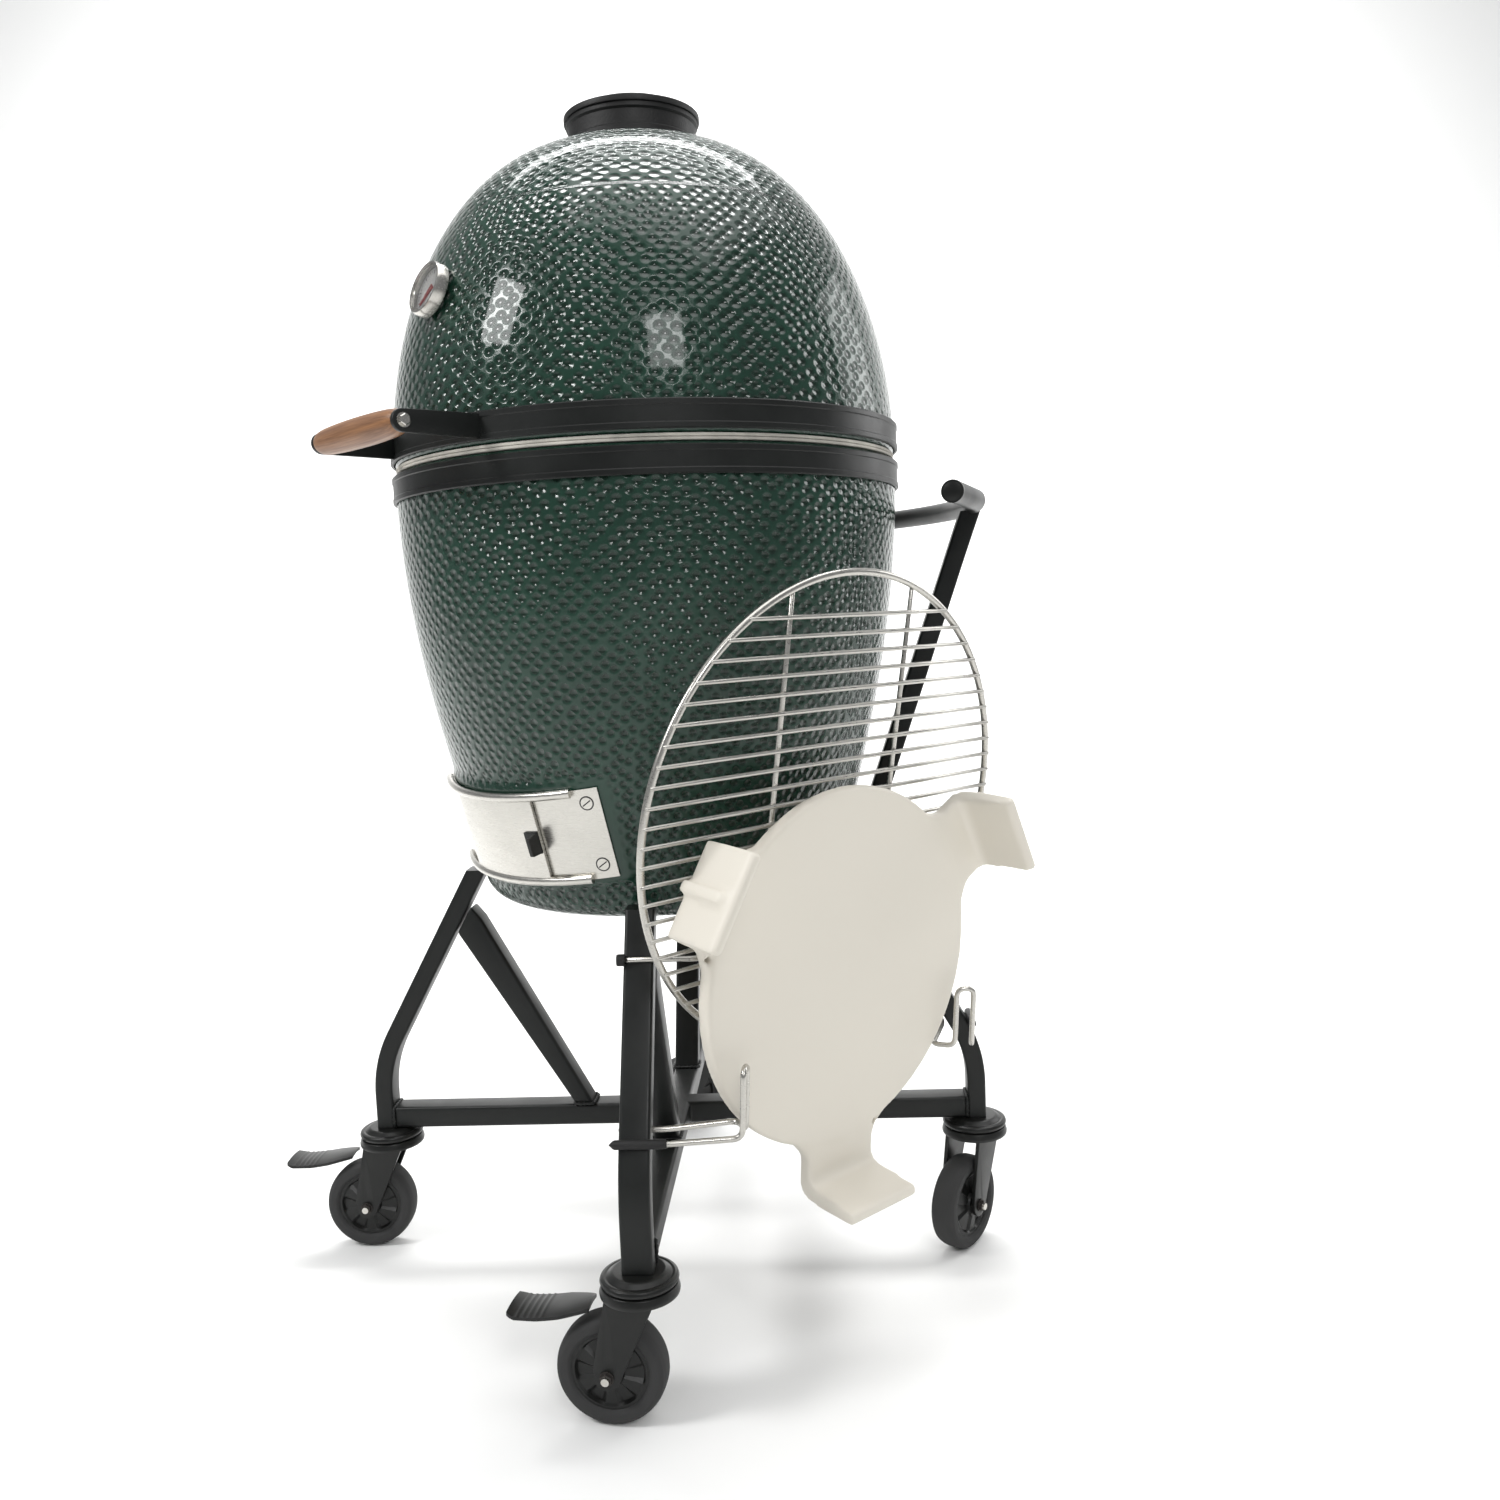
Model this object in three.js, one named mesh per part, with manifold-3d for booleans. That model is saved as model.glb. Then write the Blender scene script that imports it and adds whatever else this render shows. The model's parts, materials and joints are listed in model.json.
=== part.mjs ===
// Kamado ceramic grill on a wheeled steel nest, with its cooking grid and heat deflector hung on the right side.
// Millimetres, +Z up. The origin is on the floor under the grill's axis, the draft door faces -Y,
// the push handle is at +Y and the hanging pieces are on the +X side.
import * as THREE from "three";
import { mergeVertices } from "three/addons/utils/BufferGeometryUtils.js";
import Module from "manifold-3d";

const wasm = await Module();
wasm.setup();

// ---- driving dimensions -----------------------------------------------------------------------------------
const gap = 0.3; // between pieces that touch
const runGap = 0.6; // between pieces that turn or slide on each other
const roundSteps = 28; // facets around the ceramic

const eggRadius = 262; // outside of the ceramic at the rim
const footRadius = 196; // outside of the ceramic above its rounded foot
const footCorner = 28; // radius of the rounded foot edge
const footZ = 416; // underside of the ceramic
const rimZ = 858; // top of the fire base
const shellWall = 25;
const floorWall = 26;
const domeHeight = 316;
const chimneyRadius = 62;
const chimneyBore = 44;
const chimneyHeight = 26;
const gasketHeight = 3;
const gasketWidth = 22;

const bandHeight = 26;
const bandWall = 3;
const bandDrop = 3; // from the ceramic's edge to the band's edge

const hingeReach = 36; // from the band to the pin's axis
const hingePinRadius = 5;
const hingeEye = 12; // radius of the lugs around the pin
const hingeHalfWidth = 44;
const hingePlateWall = 4;
const lugWall = 6;

const gripRadius = 14;
const gripLength = 190;
const gripReach = 60; // from the band to the grip's axis
const gripArmWall = 5;
const gripArmHeight = 20;

const gaugeAngle = 28; // degrees up the dome's curve
const gaugeRadius = 26;
const gaugeDepth = 13;
const gaugeStemRadius = 4;
const gaugeStemLength = 62;

const ventPlateWall = 6;
const ventCollarDrop = 20;
const ventPinRadius = 4;
const ventHoleRadius = 9;
const ventHoleCount = 5;
const ventKnobRadius = 9;
const ventKnobHeight = 20;

const doorZ = 497; // middle of the draft door
const doorHalfHeight = 48;
const doorHalfAngle = 38;
const doorOpeningAngle = 12;
const doorOpeningHalfHeight = 30;
const doorPlate = 1.5;
const doorRail = 8; // depth of the rolled rails
const doorRailAngle = 31;
const slideLeft = -14; // degrees, left edge of the sliding plates
const slideRight = 19;
const tabWidth = 16;
const tabHeight = 22;
const tabFoot = 2;
const tabFin = 3.5;
const tabDepth = 15; // how far the fin stands out from the door
const tabDrop = 2; // below the middle of the door

const fireboxClearance = 9;
const fireboxWall = 20;
const fireboxTopZ = 700;
const shelfZ = 545;
const shelfHole = 90;
const grateRadius = 106;
const grateWall = 8;
const fireRingClearance = 4;
const fireRingWall = 22;
const gridDrop = 16; // from the rim down to the fire ring's top

const gridRadius = 231.5;
const gridRingWire = 3.5;
const gridWire = 2.2;
const gridPitch = 17.2;
const gridWires = 11; // on each side of the middle one
const gridBraceOffset = 78.7;
const hungGrid = { x: eggRadius - 2.7, z: 515, lean: 10.6 };

const discRadius = 174.5;
const discWall = 16;
const discFoot = { width: 90, reach: 228, height: 74, wall: 12, neck: 118, ribWidth: 10, ribDepth: 5 };
const hungDisc = { x: eggRadius + 10.5, z: 367.7, lean: 4.6 };
const discLegAngles = [30, 150, 270];

const stemRadius = 331; // from the axis to each caster's stem
const tubeWidth = 28; // across the nest's tubes
const tubeDepth = 20;
const railBottomZ = 141;
const railHeight = 24;
const legBendZ = 216;
const legBendRadius = 60;
const legTopZ = 430;
const legClearance = 5; // between the leg's top and the ceramic
const braceFootRadius = 104;

const postTop = { r: eggRadius + 78, z: 800 };
const postBend = { r: eggRadius + 63, z: 762 };
const postBendRadius = 70;
const handleRadius = eggRadius + 82;
const handleTube = 11;
const handleArc = 54; // degrees each side of the rear
const handleGrip = 118;
const handleFlare = 8;

const hookWire = 2.75;
const hookSpread = 20; // outward reach of the finger's outer wire beyond its inner one
const hookFingerHeight = 62;
const fingerClear = 8; // from the disc's face to the finger, so that the disc lifts out
const hookRestOffset = 133; // from the middle of the disc to where its rim rests on the hook

const wheelRadius = 50;
const wheelWidth = 30;
const casterTrail = 28;
const axleRadius = 4;
const forkWall = 4;
const casterHeadRadius = 36;
const casterHeadHeight = 11;
const forkCrown = 7;
const pedalReach = 74;
const pedalWidth = 40;
const pedalWall = 5;

const casters = [
  { side: "front_left", azimuth: -45, yaw: -45, brake: true },
  { side: "front_right", azimuth: 45, yaw: -52, brake: true },
  { side: "rear_right", azimuth: 135, yaw: 9, brake: false },
  { side: "rear_left", azimuth: -135, yaw: -20, brake: false },
];

// ---- materials --------------------------------------------------------------------------------------------
const finish = (color, roughness, metalness) => new THREE.MeshStandardMaterial({ color, roughness, metalness });
const glaze = finish(0x22382c, 0.2, 0);
const fireclay = finish(0xc8c0b2, 0.9, 0);
const powderCoat = finish(0x232624, 0.5, 0.2);
const stainless = finish(0xb9b6ac, 0.3, 1);
const castIron = finish(0x2b2b2a, 0.6, 0.6);
const rubber = finish(0x1e201f, 0.8, 0);
const nylon = finish(0x202220, 0.5, 0);
const felt = finish(0xd8d4c8, 1, 0);
const wood = finish(0x8a5a34, 0.6, 0);

// ---- helpers ----------------------------------------------------------------------------------------------
const rad = THREE.MathUtils.degToRad;
const [upX, upY, upZ] = [new THREE.Vector3(1, 0, 0), new THREE.Vector3(0, 1, 0), new THREE.Vector3(0, 0, 1)];
const grill = new THREE.Group();

// Directions in plan: azimuth 0 is the front (-Y) and 90 is the right side (+X).
const outward = (azimuth) => new THREE.Vector3(Math.sin(rad(azimuth)), -Math.cos(rad(azimuth)), 0);
const sideways = (azimuth) => new THREE.Vector3(Math.cos(rad(azimuth)), Math.sin(rad(azimuth)), 0);
const place = (azimuth, r, t, z) =>
  outward(azimuth).multiplyScalar(r).addScaledVector(sideways(azimuth), t).add(new THREE.Vector3(0, 0, z));

// A closed geometry with merged corners and faces that point out.
function closed(geometry) {
  const bare = geometry.index ? geometry : geometry.clone();
  bare.deleteAttribute("normal");
  bare.deleteAttribute("uv");
  const merged = mergeVertices(bare, 1e-4);
  const p = merged.getAttribute("position");
  const faces = [];
  let volume = 0;
  const [a, b, c] = [new THREE.Vector3(), new THREE.Vector3(), new THREE.Vector3()];
  for (let i = 0; i < merged.index.count; i += 3) {
    const [u, v, w] = [0, 1, 2].map((k) => merged.index.getX(i + k));
    if (u === v || v === w || w === u) continue;
    faces.push(u, v, w);
    a.fromBufferAttribute(p, u);
    b.fromBufferAttribute(p, v);
    c.fromBufferAttribute(p, w);
    volume += a.dot(b.clone().cross(c));
  }
  merged.setIndex(volume < 0 ? faces.reverse() : faces);
  return merged;
}

function solid(geometry) {
  const g = closed(geometry);
  const mesh = new wasm.Mesh({
    numProp: 3,
    vertProperties: new Float32Array(g.getAttribute("position").array),
    triVerts: new Uint32Array(g.index.array),
  });
  return new wasm.Manifold(mesh);
}

function fromSolid(manifold) {
  const mesh = manifold.getMesh();
  const geometry = new THREE.BufferGeometry();
  geometry.setAttribute("position", new THREE.BufferAttribute(new Float32Array(mesh.vertProperties), 3));
  geometry.setIndex(new THREE.BufferAttribute(new Uint32Array(mesh.triVerts), 1));
  return geometry;
}

const join = (...geometries) => fromSolid(geometries.map(solid).reduce((all, next) => all.add(next)));
const cut = (body, ...tools) => fromSolid(tools.map(solid).reduce((left, tool) => left.subtract(tool), solid(body)));

function add(name, geometry, material, parent = grill) {
  const mesh = new THREE.Mesh(closed(geometry), material);
  mesh.name = name;
  parent.add(mesh);
  return mesh;
}

// A turned piece from [radius, height] points, about Z.
function turned(points, steps = roundSteps) {
  return new THREE.LatheGeometry(points.map(([r, z]) => new THREE.Vector2(r, z)), steps).rotateX(Math.PI / 2);
}

const ring = (inner, outer, low, high, steps = roundSteps) =>
  turned([[inner, low], [outer, low], [outer, high], [inner, high], [inner, low]], steps);
const disc = (radius, low, high, steps) => turned([[0, low], [radius, low], [radius, high], [0, high]], steps);
const box = (x, y, z, cx = 0, cy = 0, cz = 0) => new THREE.BoxGeometry(x, y, z).translate(cx, cy, cz);
const roundBar = (radius, length, steps) => new THREE.CylinderGeometry(radius, radius, length, steps);

// A flat outline in (radius, height), given width across and centred on its plane.
const upright = (shape, width) =>
  new THREE.ExtrudeGeometry(shape, { depth: width, bevelEnabled: false, curveSegments: 6 })
    .translate(0, 0, -width / 2)
    .rotateX(Math.PI / 2);

// A flat outline in plan, raised from low to high.
const raised = (shape, low, high) =>
  new THREE.ExtrudeGeometry(shape, { depth: high - low, bevelEnabled: false }).translate(0, 0, low);

// A slab of a cylinder between two azimuths.
function sector(inner, outer, from, to, low, high, steps = 12) {
  const shape = new THREE.Shape();
  for (let i = 0; i <= steps; i++) {
    const d = outward(THREE.MathUtils.lerp(from, to, i / steps));
    shape[i ? "lineTo" : "moveTo"](d.x * outer, d.y * outer);
  }
  for (let i = steps; i >= 0; i--) {
    const d = outward(THREE.MathUtils.lerp(from, to, i / steps));
    shape.lineTo(d.x * inner, d.y * inner);
  }
  return raised(shape, low, high);
}

// A round wire or tube through points, with straight runs and short bends.
function wire(points, radius, sides, bend, bendSteps = 3) {
  const path = [points[0]];
  for (let i = 1; i < points.length - 1; i++) {
    const [before, here, after] = [points[i - 1], points[i], points[i + 1]];
    const reach = Math.min(bend, here.distanceTo(before) * 0.45, here.distanceTo(after) * 0.45);
    const start = here.clone().lerp(before, reach / here.distanceTo(before));
    const end = here.clone().lerp(after, reach / here.distanceTo(after));
    path.push(...new THREE.QuadraticBezierCurve3(start, here, end).getPoints(bendSteps));
  }
  path.push(points.at(-1));
  return swept(path, radius, sides);
}

// An extrusion whose path is a chain of straight steps between the given points.
class Chain extends THREE.Curve {
  constructor(points) {
    super();
    this.points = points;
  }
  getPoint(t, target = new THREE.Vector3()) {
    const at = t * (this.points.length - 1);
    const i = Math.min(Math.floor(at), this.points.length - 2);
    return target.lerpVectors(this.points[i], this.points[i + 1], at - i);
  }
  getSpacedPoints() {
    return this.points.map((p) => p.clone());
  }
  getPointAt(u, target) {
    return this.getPoint(u, target);
  }
  getTangentAt(u, target = new THREE.Vector3()) {
    const last = this.points.length - 1;
    const i = Math.round(u * last);
    const before = this.points[Math.max(i - 1, 0)];
    const after = this.points[Math.min(i + 1, last)];
    return target.subVectors(after, before).normalize();
  }
}

function swept(path, radius, sides) {
  const shape = new THREE.Shape();
  for (let i = 0; i < sides; i++) {
    const a = ((i + 0.5) / sides) * 2 * Math.PI;
    shape[i ? "lineTo" : "moveTo"](Math.cos(a) * radius, Math.sin(a) * radius);
  }
  return new THREE.ExtrudeGeometry(shape, { steps: path.length - 1, extrudePath: new Chain(path), bevelEnabled: false });
}

// The outline of a flat bar that follows a bent centre line in (radius, height).
function barOutline(points, bendRadius, depth) {
  const line = [points[0]];
  for (let i = 1; i < points.length - 1; i++) {
    const into = points[i].clone().sub(points[i - 1]).normalize();
    const out = points[i + 1].clone().sub(points[i]).normalize();
    const turn = Math.acos(THREE.MathUtils.clamp(into.dot(out), -1, 1));
    const reach = bendRadius * Math.tan(turn / 2);
    const start = points[i].clone().addScaledVector(into, -reach);
    const end = points[i].clone().addScaledVector(out, reach);
    const bend = new THREE.QuadraticBezierCurve(start, points[i], end);
    line.push(...bend.getPoints(5));
  }
  line.push(points.at(-1));
  const side = (sign) =>
    line.map((p, i) => {
      const before = line[Math.max(i - 1, 0)];
      const after = line[Math.min(i + 1, line.length - 1)];
      const along = after.clone().sub(before).normalize();
      return new THREE.Vector2(p.x - (sign * along.y * depth) / 2, p.y + (sign * along.x * depth) / 2);
    });
  return [...side(1), ...side(-1).reverse()];
}

// A group whose X is outward at an azimuth, for pieces that lie in a plane through the axis.
function radialGroup(azimuth) {
  const group = new THREE.Group();
  group.rotation.z = rad(azimuth - 90);
  grill.add(group);
  return group;
}

// ---- ceramic shell ----------------------------------------------------------------------------------------
const flankZ = footZ + footCorner; // where the rounded foot ends

// The fire base's outside: a narrow foot that flares, then rises almost straight to the rim.
function baseRadiusAt(z) {
  const t = THREE.MathUtils.clamp((z - flankZ) / (rimZ - flankZ), 0, 1);
  return footRadius + (eggRadius - footRadius) * (1 - (1 - t ** 1.2) ** 2.2);
}

const innerRadiusAt = (z) => baseRadiusAt(z) - shellWall;
const levels = (low, high, steps) =>
  Array.from({ length: steps + 1 }, (_, i) => THREE.MathUtils.lerp(low, high, i / steps));

function buildBase() {
  const corner = [0, 30, 60].map((a) => [
    footRadius - footCorner + footCorner * Math.sin(rad(a)),
    flankZ - footCorner * Math.cos(rad(a)),
  ]);
  const outside = levels(flankZ, rimZ, 9).map((z) => [baseRadiusAt(z), z]);
  const inside = levels(rimZ, flankZ, 6).map((z) => [innerRadiusAt(z), z]);
  const floor = [
    [footRadius - shellWall - footCorner / 2, footZ + floorWall],
    [0, footZ + floorWall],
  ];
  const shell = turned([[0, footZ], ...corner, ...outside, ...inside, ...floor]);
  const halfWidth = baseRadiusAt(doorZ) * Math.sin(rad(doorOpeningAngle));
  const opening = box(halfWidth * 2, eggRadius, doorOpeningHalfHeight * 2, 0, -eggRadius / 2 - shellWall * 4, doorZ);
  return cut(shell, opening);
}

add("base_shell", buildBase(), glaze);

const gasketInner = eggRadius - (shellWall + gasketWidth) / 2;
const gasketOuter = gasketInner + gasketWidth;
const baseGasketZ = rimZ + gap;
const domeGasketZ = baseGasketZ + gasketHeight + gap;
const domeZ = domeGasketZ + gasketHeight + gap; // the dome's lower edge
add("base_gasket", ring(gasketInner, gasketOuter, baseGasketZ, baseGasketZ + gasketHeight), felt);
add("dome_gasket", ring(gasketInner, gasketOuter, domeGasketZ, domeGasketZ + gasketHeight), felt);

// The dome's outside at an angle up its curve: a quarter ellipse that ends level at the chimney.
const domePoint = (angle) => [
  chimneyRadius + (eggRadius - chimneyRadius) * Math.cos(rad(angle)),
  domeZ + domeHeight * Math.sin(rad(angle)),
];
const chimneyTopZ = domeZ + domeHeight + chimneyHeight;

// Frame of the thermometer: on the dome's front, facing along the curve's normal.
const [gaugeR, gaugeZ] = domePoint(gaugeAngle);
const gaugeTilt = Math.atan2(
  Math.sin(rad(gaugeAngle)) / domeHeight,
  Math.cos(rad(gaugeAngle)) / (eggRadius - chimneyRadius),
);
const gauge = new THREE.Group();
gauge.position.set(0, -gaugeR, gaugeZ);
gauge.rotation.x = Math.PI / 2 - gaugeTilt;
grill.add(gauge);

function buildDome() {
  const outside = levels(0, 90, 8).map(domePoint);
  const inside = levels(90, 0, 6).map((angle) => [
    chimneyBore + (eggRadius - shellWall - chimneyBore) * Math.cos(rad(angle)),
    domeZ + (domeHeight - shellWall) * Math.sin(rad(angle)),
  ]);
  const profile = [...outside, [chimneyRadius, chimneyTopZ], [chimneyBore, chimneyTopZ], ...inside, outside[0]];
  gauge.updateMatrixWorld();
  const hole = roundBar(gaugeStemRadius + 2, shellWall * 3, 12).rotateX(Math.PI / 2).applyMatrix4(gauge.matrixWorld);
  return cut(turned(profile), hole);
}

add("dome_shell", buildDome(), glaze);

// ---- bands, hinge and lid handle --------------------------------------------------------------------------
const bandInner = eggRadius + gap;
const bandOuter = bandInner + bandWall;
const baseBandZ = rimZ - bandDrop - bandHeight;
const domeBandZ = domeZ + bandDrop;
add("base_band", ring(bandInner, bandOuter, baseBandZ, baseBandZ + bandHeight), powderCoat);

const pinY = bandOuter + hingeReach;
const pinZ = (rimZ + domeZ) / 2;
const bandBackY = bandOuter + gap;
const gripZ = domeBandZ + bandHeight / 2;
const gripY = -(bandOuter + gripReach);

// An eye around the pin, joined to the plate at the band by a web; across runs along X from one side.
function hingeLug(side, webLow, webHigh) {
  const eye = roundBar(hingeEye, lugWall, 16).rotateZ(Math.PI / 2).translate(side, pinY, pinZ);
  const webLength = pinY - bandBackY - hingePlateWall / 2;
  const web = box(lugWall, webLength, webHigh - webLow, side, pinY - webLength / 2, (webLow + webHigh) / 2);
  const bore = roundBar(hingePinRadius + runGap / 2, lugWall * 2, 16).rotateZ(Math.PI / 2).translate(side, pinY, pinZ);
  return { body: [eye, web], bore };
}

// A flat plate behind a band, hollowed to the band's curve.
function hingePlate(low, halfWidth) {
  const plate = box(halfWidth * 2, hingePlateWall * 3, bandHeight, 0, bandBackY - hingePlateWall / 2, low + bandHeight / 2);
  return cut(plate, disc(bandBackY, low - 1, low + bandHeight + 1, roundSteps * 2));
}

function buildHingePart(bandZ, halfWidth, webLow, webHigh) {
  const lugs = [-1, 1].map((s) => hingeLug(s * (halfWidth - lugWall / 2), webLow, webHigh));
  const body = join(hingePlate(bandZ, halfWidth), ...lugs.flatMap((lug) => lug.body));
  return cut(body, ...lugs.map((lug) => lug.bore));
}

const armHalfWidth = hingeHalfWidth - lugWall - 2;
add("hinge_bracket", buildHingePart(baseBandZ, hingeHalfWidth, baseBandZ + 4, pinZ), powderCoat);
add("hinge_arm", buildHingePart(domeBandZ, armHalfWidth, domeBandZ, domeBandZ + hingeEye), powderCoat);
const pinLength = hingeHalfWidth * 2 + 12;
add("hinge_pin", roundBar(hingePinRadius, pinLength, 16).rotateZ(Math.PI / 2).translate(0, pinY, pinZ), stainless);
const springHalf = armHalfWidth - lugWall - 2;
const springBody = ring(hingePinRadius + 1, hingeEye - 2, -springHalf, springHalf, 16);
add("hinge_spring", springBody.rotateY(Math.PI / 2).translate(0, pinY, pinZ), stainless);

const gripArmX = gripLength / 2 - 14;
function buildDomeBand() {
  const armEndY = 6 - Math.sqrt(bandInner ** 2 - gripArmX ** 2);
  const reach = armEndY - gripY;
  const pieces = [-1, 1].flatMap((s) => [
    box(gripArmWall, reach, gripArmHeight, s * gripArmX, gripY + reach / 2, gripZ),
    roundBar(gripArmHeight / 2, gripArmWall, 16).rotateZ(Math.PI / 2).translate(s * gripArmX, gripY, gripZ),
  ]);
  const band = ring(bandInner, bandOuter, domeBandZ, domeBandZ + bandHeight);
  return cut(join(band, ...pieces), disc(bandInner, domeBandZ - 1, domeBandZ + bandHeight + 1));
}

add("dome_band", buildDomeBand(), powderCoat);

// The grip stands between the two arms, on a rod that the arms hold.
const gripHalf = gripArmX - gripArmWall / 2 - gap;
const gripProfile = [
  [0, -gripHalf], [gripRadius * 0.8, -gripHalf], [gripRadius, -gripHalf * 0.7],
  [gripRadius, gripHalf * 0.7], [gripRadius * 0.8, gripHalf], [0, gripHalf],
];
add("lid_grip", turned(gripProfile, 14).rotateY(Math.PI / 2).translate(0, gripY, gripZ), wood);

// ---- thermometer ------------------------------------------------------------------------------------------
const gaugeSeat = 1.5; // the case's back stands off the curved glaze
const gaugeFace = gaugeSeat + gaugeDepth * 0.4;
const gaugeCase = turned([
  [0, -gaugeStemLength], [gaugeStemRadius, -gaugeStemLength], [gaugeStemRadius, gaugeSeat], [gaugeRadius, gaugeSeat],
  [gaugeRadius, gaugeSeat + gaugeDepth], [gaugeRadius - 3, gaugeSeat + gaugeDepth], [gaugeRadius - 3, gaugeFace],
  [0, gaugeFace],
], 20);
add("thermometer_case", gaugeCase, stainless, gauge);
const needleLength = gaugeRadius - 8;
const needle = new THREE.Shape([
  new THREE.Vector2(-3, -5), new THREE.Vector2(3, -5), new THREE.Vector2(1, needleLength), new THREE.Vector2(-1, needleLength),
]);
const needleBlank = new THREE.ExtrudeGeometry(needle, { depth: 1.2, bevelEnabled: false });
// The cold position points down to the left.
add("thermometer_needle", needleBlank.translate(0, 0, gaugeFace + gap).rotateZ(rad(135)), castIron, gauge);

// ---- chimney vent -----------------------------------------------------------------------------------------
const collarOuter = chimneyRadius + gap + 6;
const collarLipZ = chimneyTopZ + gap;
const ventPlateZ = collarLipZ + ventPlateWall + gap;
const ventPinY = collarOuter - ventPinRadius - 3;
const ventPlateRadius = ventPinY + ventPinRadius + 5;

function buildVentCollar() {
  const collar = turned([
    [chimneyRadius + gap, chimneyTopZ - ventCollarDrop], [collarOuter, chimneyTopZ - ventCollarDrop],
    [collarOuter, collarLipZ + ventPlateWall], [chimneyBore, collarLipZ + ventPlateWall], [chimneyBore, collarLipZ],
    [chimneyRadius + gap, collarLipZ], [chimneyRadius + gap, chimneyTopZ - ventCollarDrop],
  ]);
  const low = collarLipZ + 1;
  const pin = disc(ventPinRadius, low, ventPlateZ + ventPlateWall - 0.5, 12).translate(0, ventPinY, 0);
  return join(collar, pin);
}

// A plate with a ring of draught holes; turn is where the first hole lies, in degrees.
function ventPlate(radius, low, turn) {
  const holes = levels(0, 360 - 360 / ventHoleCount, ventHoleCount - 1).map((a) => {
    const at = outward(a + turn).multiplyScalar(chimneyBore * 0.6);
    return disc(ventHoleRadius, low - 1, low + ventPlateWall + 1, 10).translate(at.x, at.y, 0);
  });
  return { plate: disc(radius, low, low + ventPlateWall), holes };
}

const ventDialZ = ventPlateZ + ventPlateWall + gap;
const ventDialRadius = ventPinY - ventPinRadius - 2;
add("vent_collar", buildVentCollar(), castIron);
const capPlate = ventPlate(ventPlateRadius, ventPlateZ, 0);
const capPinHole = disc(ventPinRadius + runGap / 2, ventPlateZ - 1, ventDialZ, 12).translate(0, ventPinY, 0);
add("vent_cap", cut(capPlate.plate, ...capPlate.holes, capPinHole), castIron);
const dialPlate = ventPlate(ventDialRadius, ventDialZ, 180 / ventHoleCount);
const dialKnob = turned([
  [0, ventDialZ + 1], [ventKnobRadius * 0.6, ventDialZ + 1], [ventKnobRadius, ventDialZ + ventKnobHeight * 0.6],
  [ventKnobRadius * 0.8, ventDialZ + ventKnobHeight], [0, ventDialZ + ventKnobHeight],
], 14);
add("vent_dial", cut(join(dialPlate.plate, dialKnob), ...dialPlate.holes), castIron);

// ---- draft door -------------------------------------------------------------------------------------------
// The plates are bent round a cylinder that leans forward with the ceramic's flank.
const flankSlope = (baseRadiusAt(doorZ + 30) - baseRadiusAt(doorZ - 30)) / 60;
const doorLean = Math.atan(flankSlope);
const doorRadius = baseRadiusAt(doorZ) + 5;
const draft = new THREE.Group();
draft.position.set(0, doorRadius * (Math.cos(doorLean) - 1), doorZ + doorRadius * Math.sin(doorLean));
draft.rotation.x = doorLean;
grill.add(draft);

const screenInner = doorRadius + doorPlate + runGap;
const screenOuter = screenInner + 1;
const slideInner = screenOuter + runGap;
const slideOuter = slideInner + 1.5;
const lipInner = slideOuter + runGap;
const lipOuter = doorRadius + doorRail;
const railInner = doorHalfHeight - 3;

function buildDraftFrame() {
  const span = [-doorRailAngle, doorRailAngle];
  const plate = sector(doorRadius, doorRadius + doorPlate, -doorHalfAngle, doorHalfAngle, -railInner - 1, railInner + 1);
  const rails = [-1, 1].flatMap((s) => {
    const [edge, lip] = [s * railInner, s * (railInner - 6)];
    const outer = s * doorHalfHeight;
    return [
      sector(doorRadius, lipOuter, ...span, Math.min(edge, outer), Math.max(edge, outer)),
      sector(lipInner, lipOuter, ...span, Math.min(edge, lip) - 0.1, Math.max(edge, lip) + 0.1),
    ];
  });
  const open = doorOpeningAngle;
  const opening = sector(doorRadius - 3, doorRadius + 4, -open, open, -doorOpeningHalfHeight, doorOpeningHalfHeight, 4);
  return cut(join(plate, ...rails), opening);
}

add("draft_frame", buildDraftFrame(), stainless, draft);
const slideHalf = railInner - runGap;
add("ember_screen", sector(screenInner, screenOuter, slideLeft, slideRight, -slideHalf, slideHalf, 6), stainless, draft);
add("draft_door", sector(slideInner, slideOuter, slideLeft, slideRight, -slideHalf, slideHalf, 6), stainless, draft);
const tabAngle = THREE.MathUtils.radToDeg(tabWidth / slideOuter);
const tabInner = slideOuter + gap * 2;
const finAngle = THREE.MathUtils.radToDeg(tabFin / slideOuter);
const tabSpan = [-tabDrop - tabHeight / 2, -tabDrop + tabHeight / 2];
const tabBase = sector(tabInner, tabInner + tabFoot, slideRight - tabAngle, slideRight, ...tabSpan, 2);
const tabPull = sector(tabInner, tabInner + tabDepth, slideRight - finAngle, slideRight, ...tabSpan, 1);
const tab = join(tabBase, tabPull);
add("draft_tab", tab, nylon, draft);

// ---- fire box, ring and grate -----------------------------------------------------------------------------
function buildFirebox() {
  const low = footZ + floorWall + gap;
  const outer = (z) => innerRadiusAt(Math.max(z, flankZ)) - fireboxClearance;
  const shelfLow = shelfZ - 18;
  const outside = levels(flankZ + 6, fireboxTopZ, 4).map((z) => [outer(z), z]);
  const inside = levels(fireboxTopZ, shelfZ, 3).map((z) => [outer(z) - fireboxWall, z]);
  const profile = [
    [outer(flankZ) - fireboxWall, low], [outer(flankZ) - 16, low], ...outside, ...inside,
    [shelfHole, shelfZ], [shelfHole, shelfLow], [outer(shelfLow) - fireboxWall, shelfLow],
    [outer(flankZ) - fireboxWall, low],
  ];
  const notch = box(110, eggRadius, shelfLow - low - 12, 0, -eggRadius / 2 - 60, (shelfLow + low) / 2 - 6.5);
  return cut(turned(profile, 24), notch);
}

add("firebox", buildFirebox(), fireclay);

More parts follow.
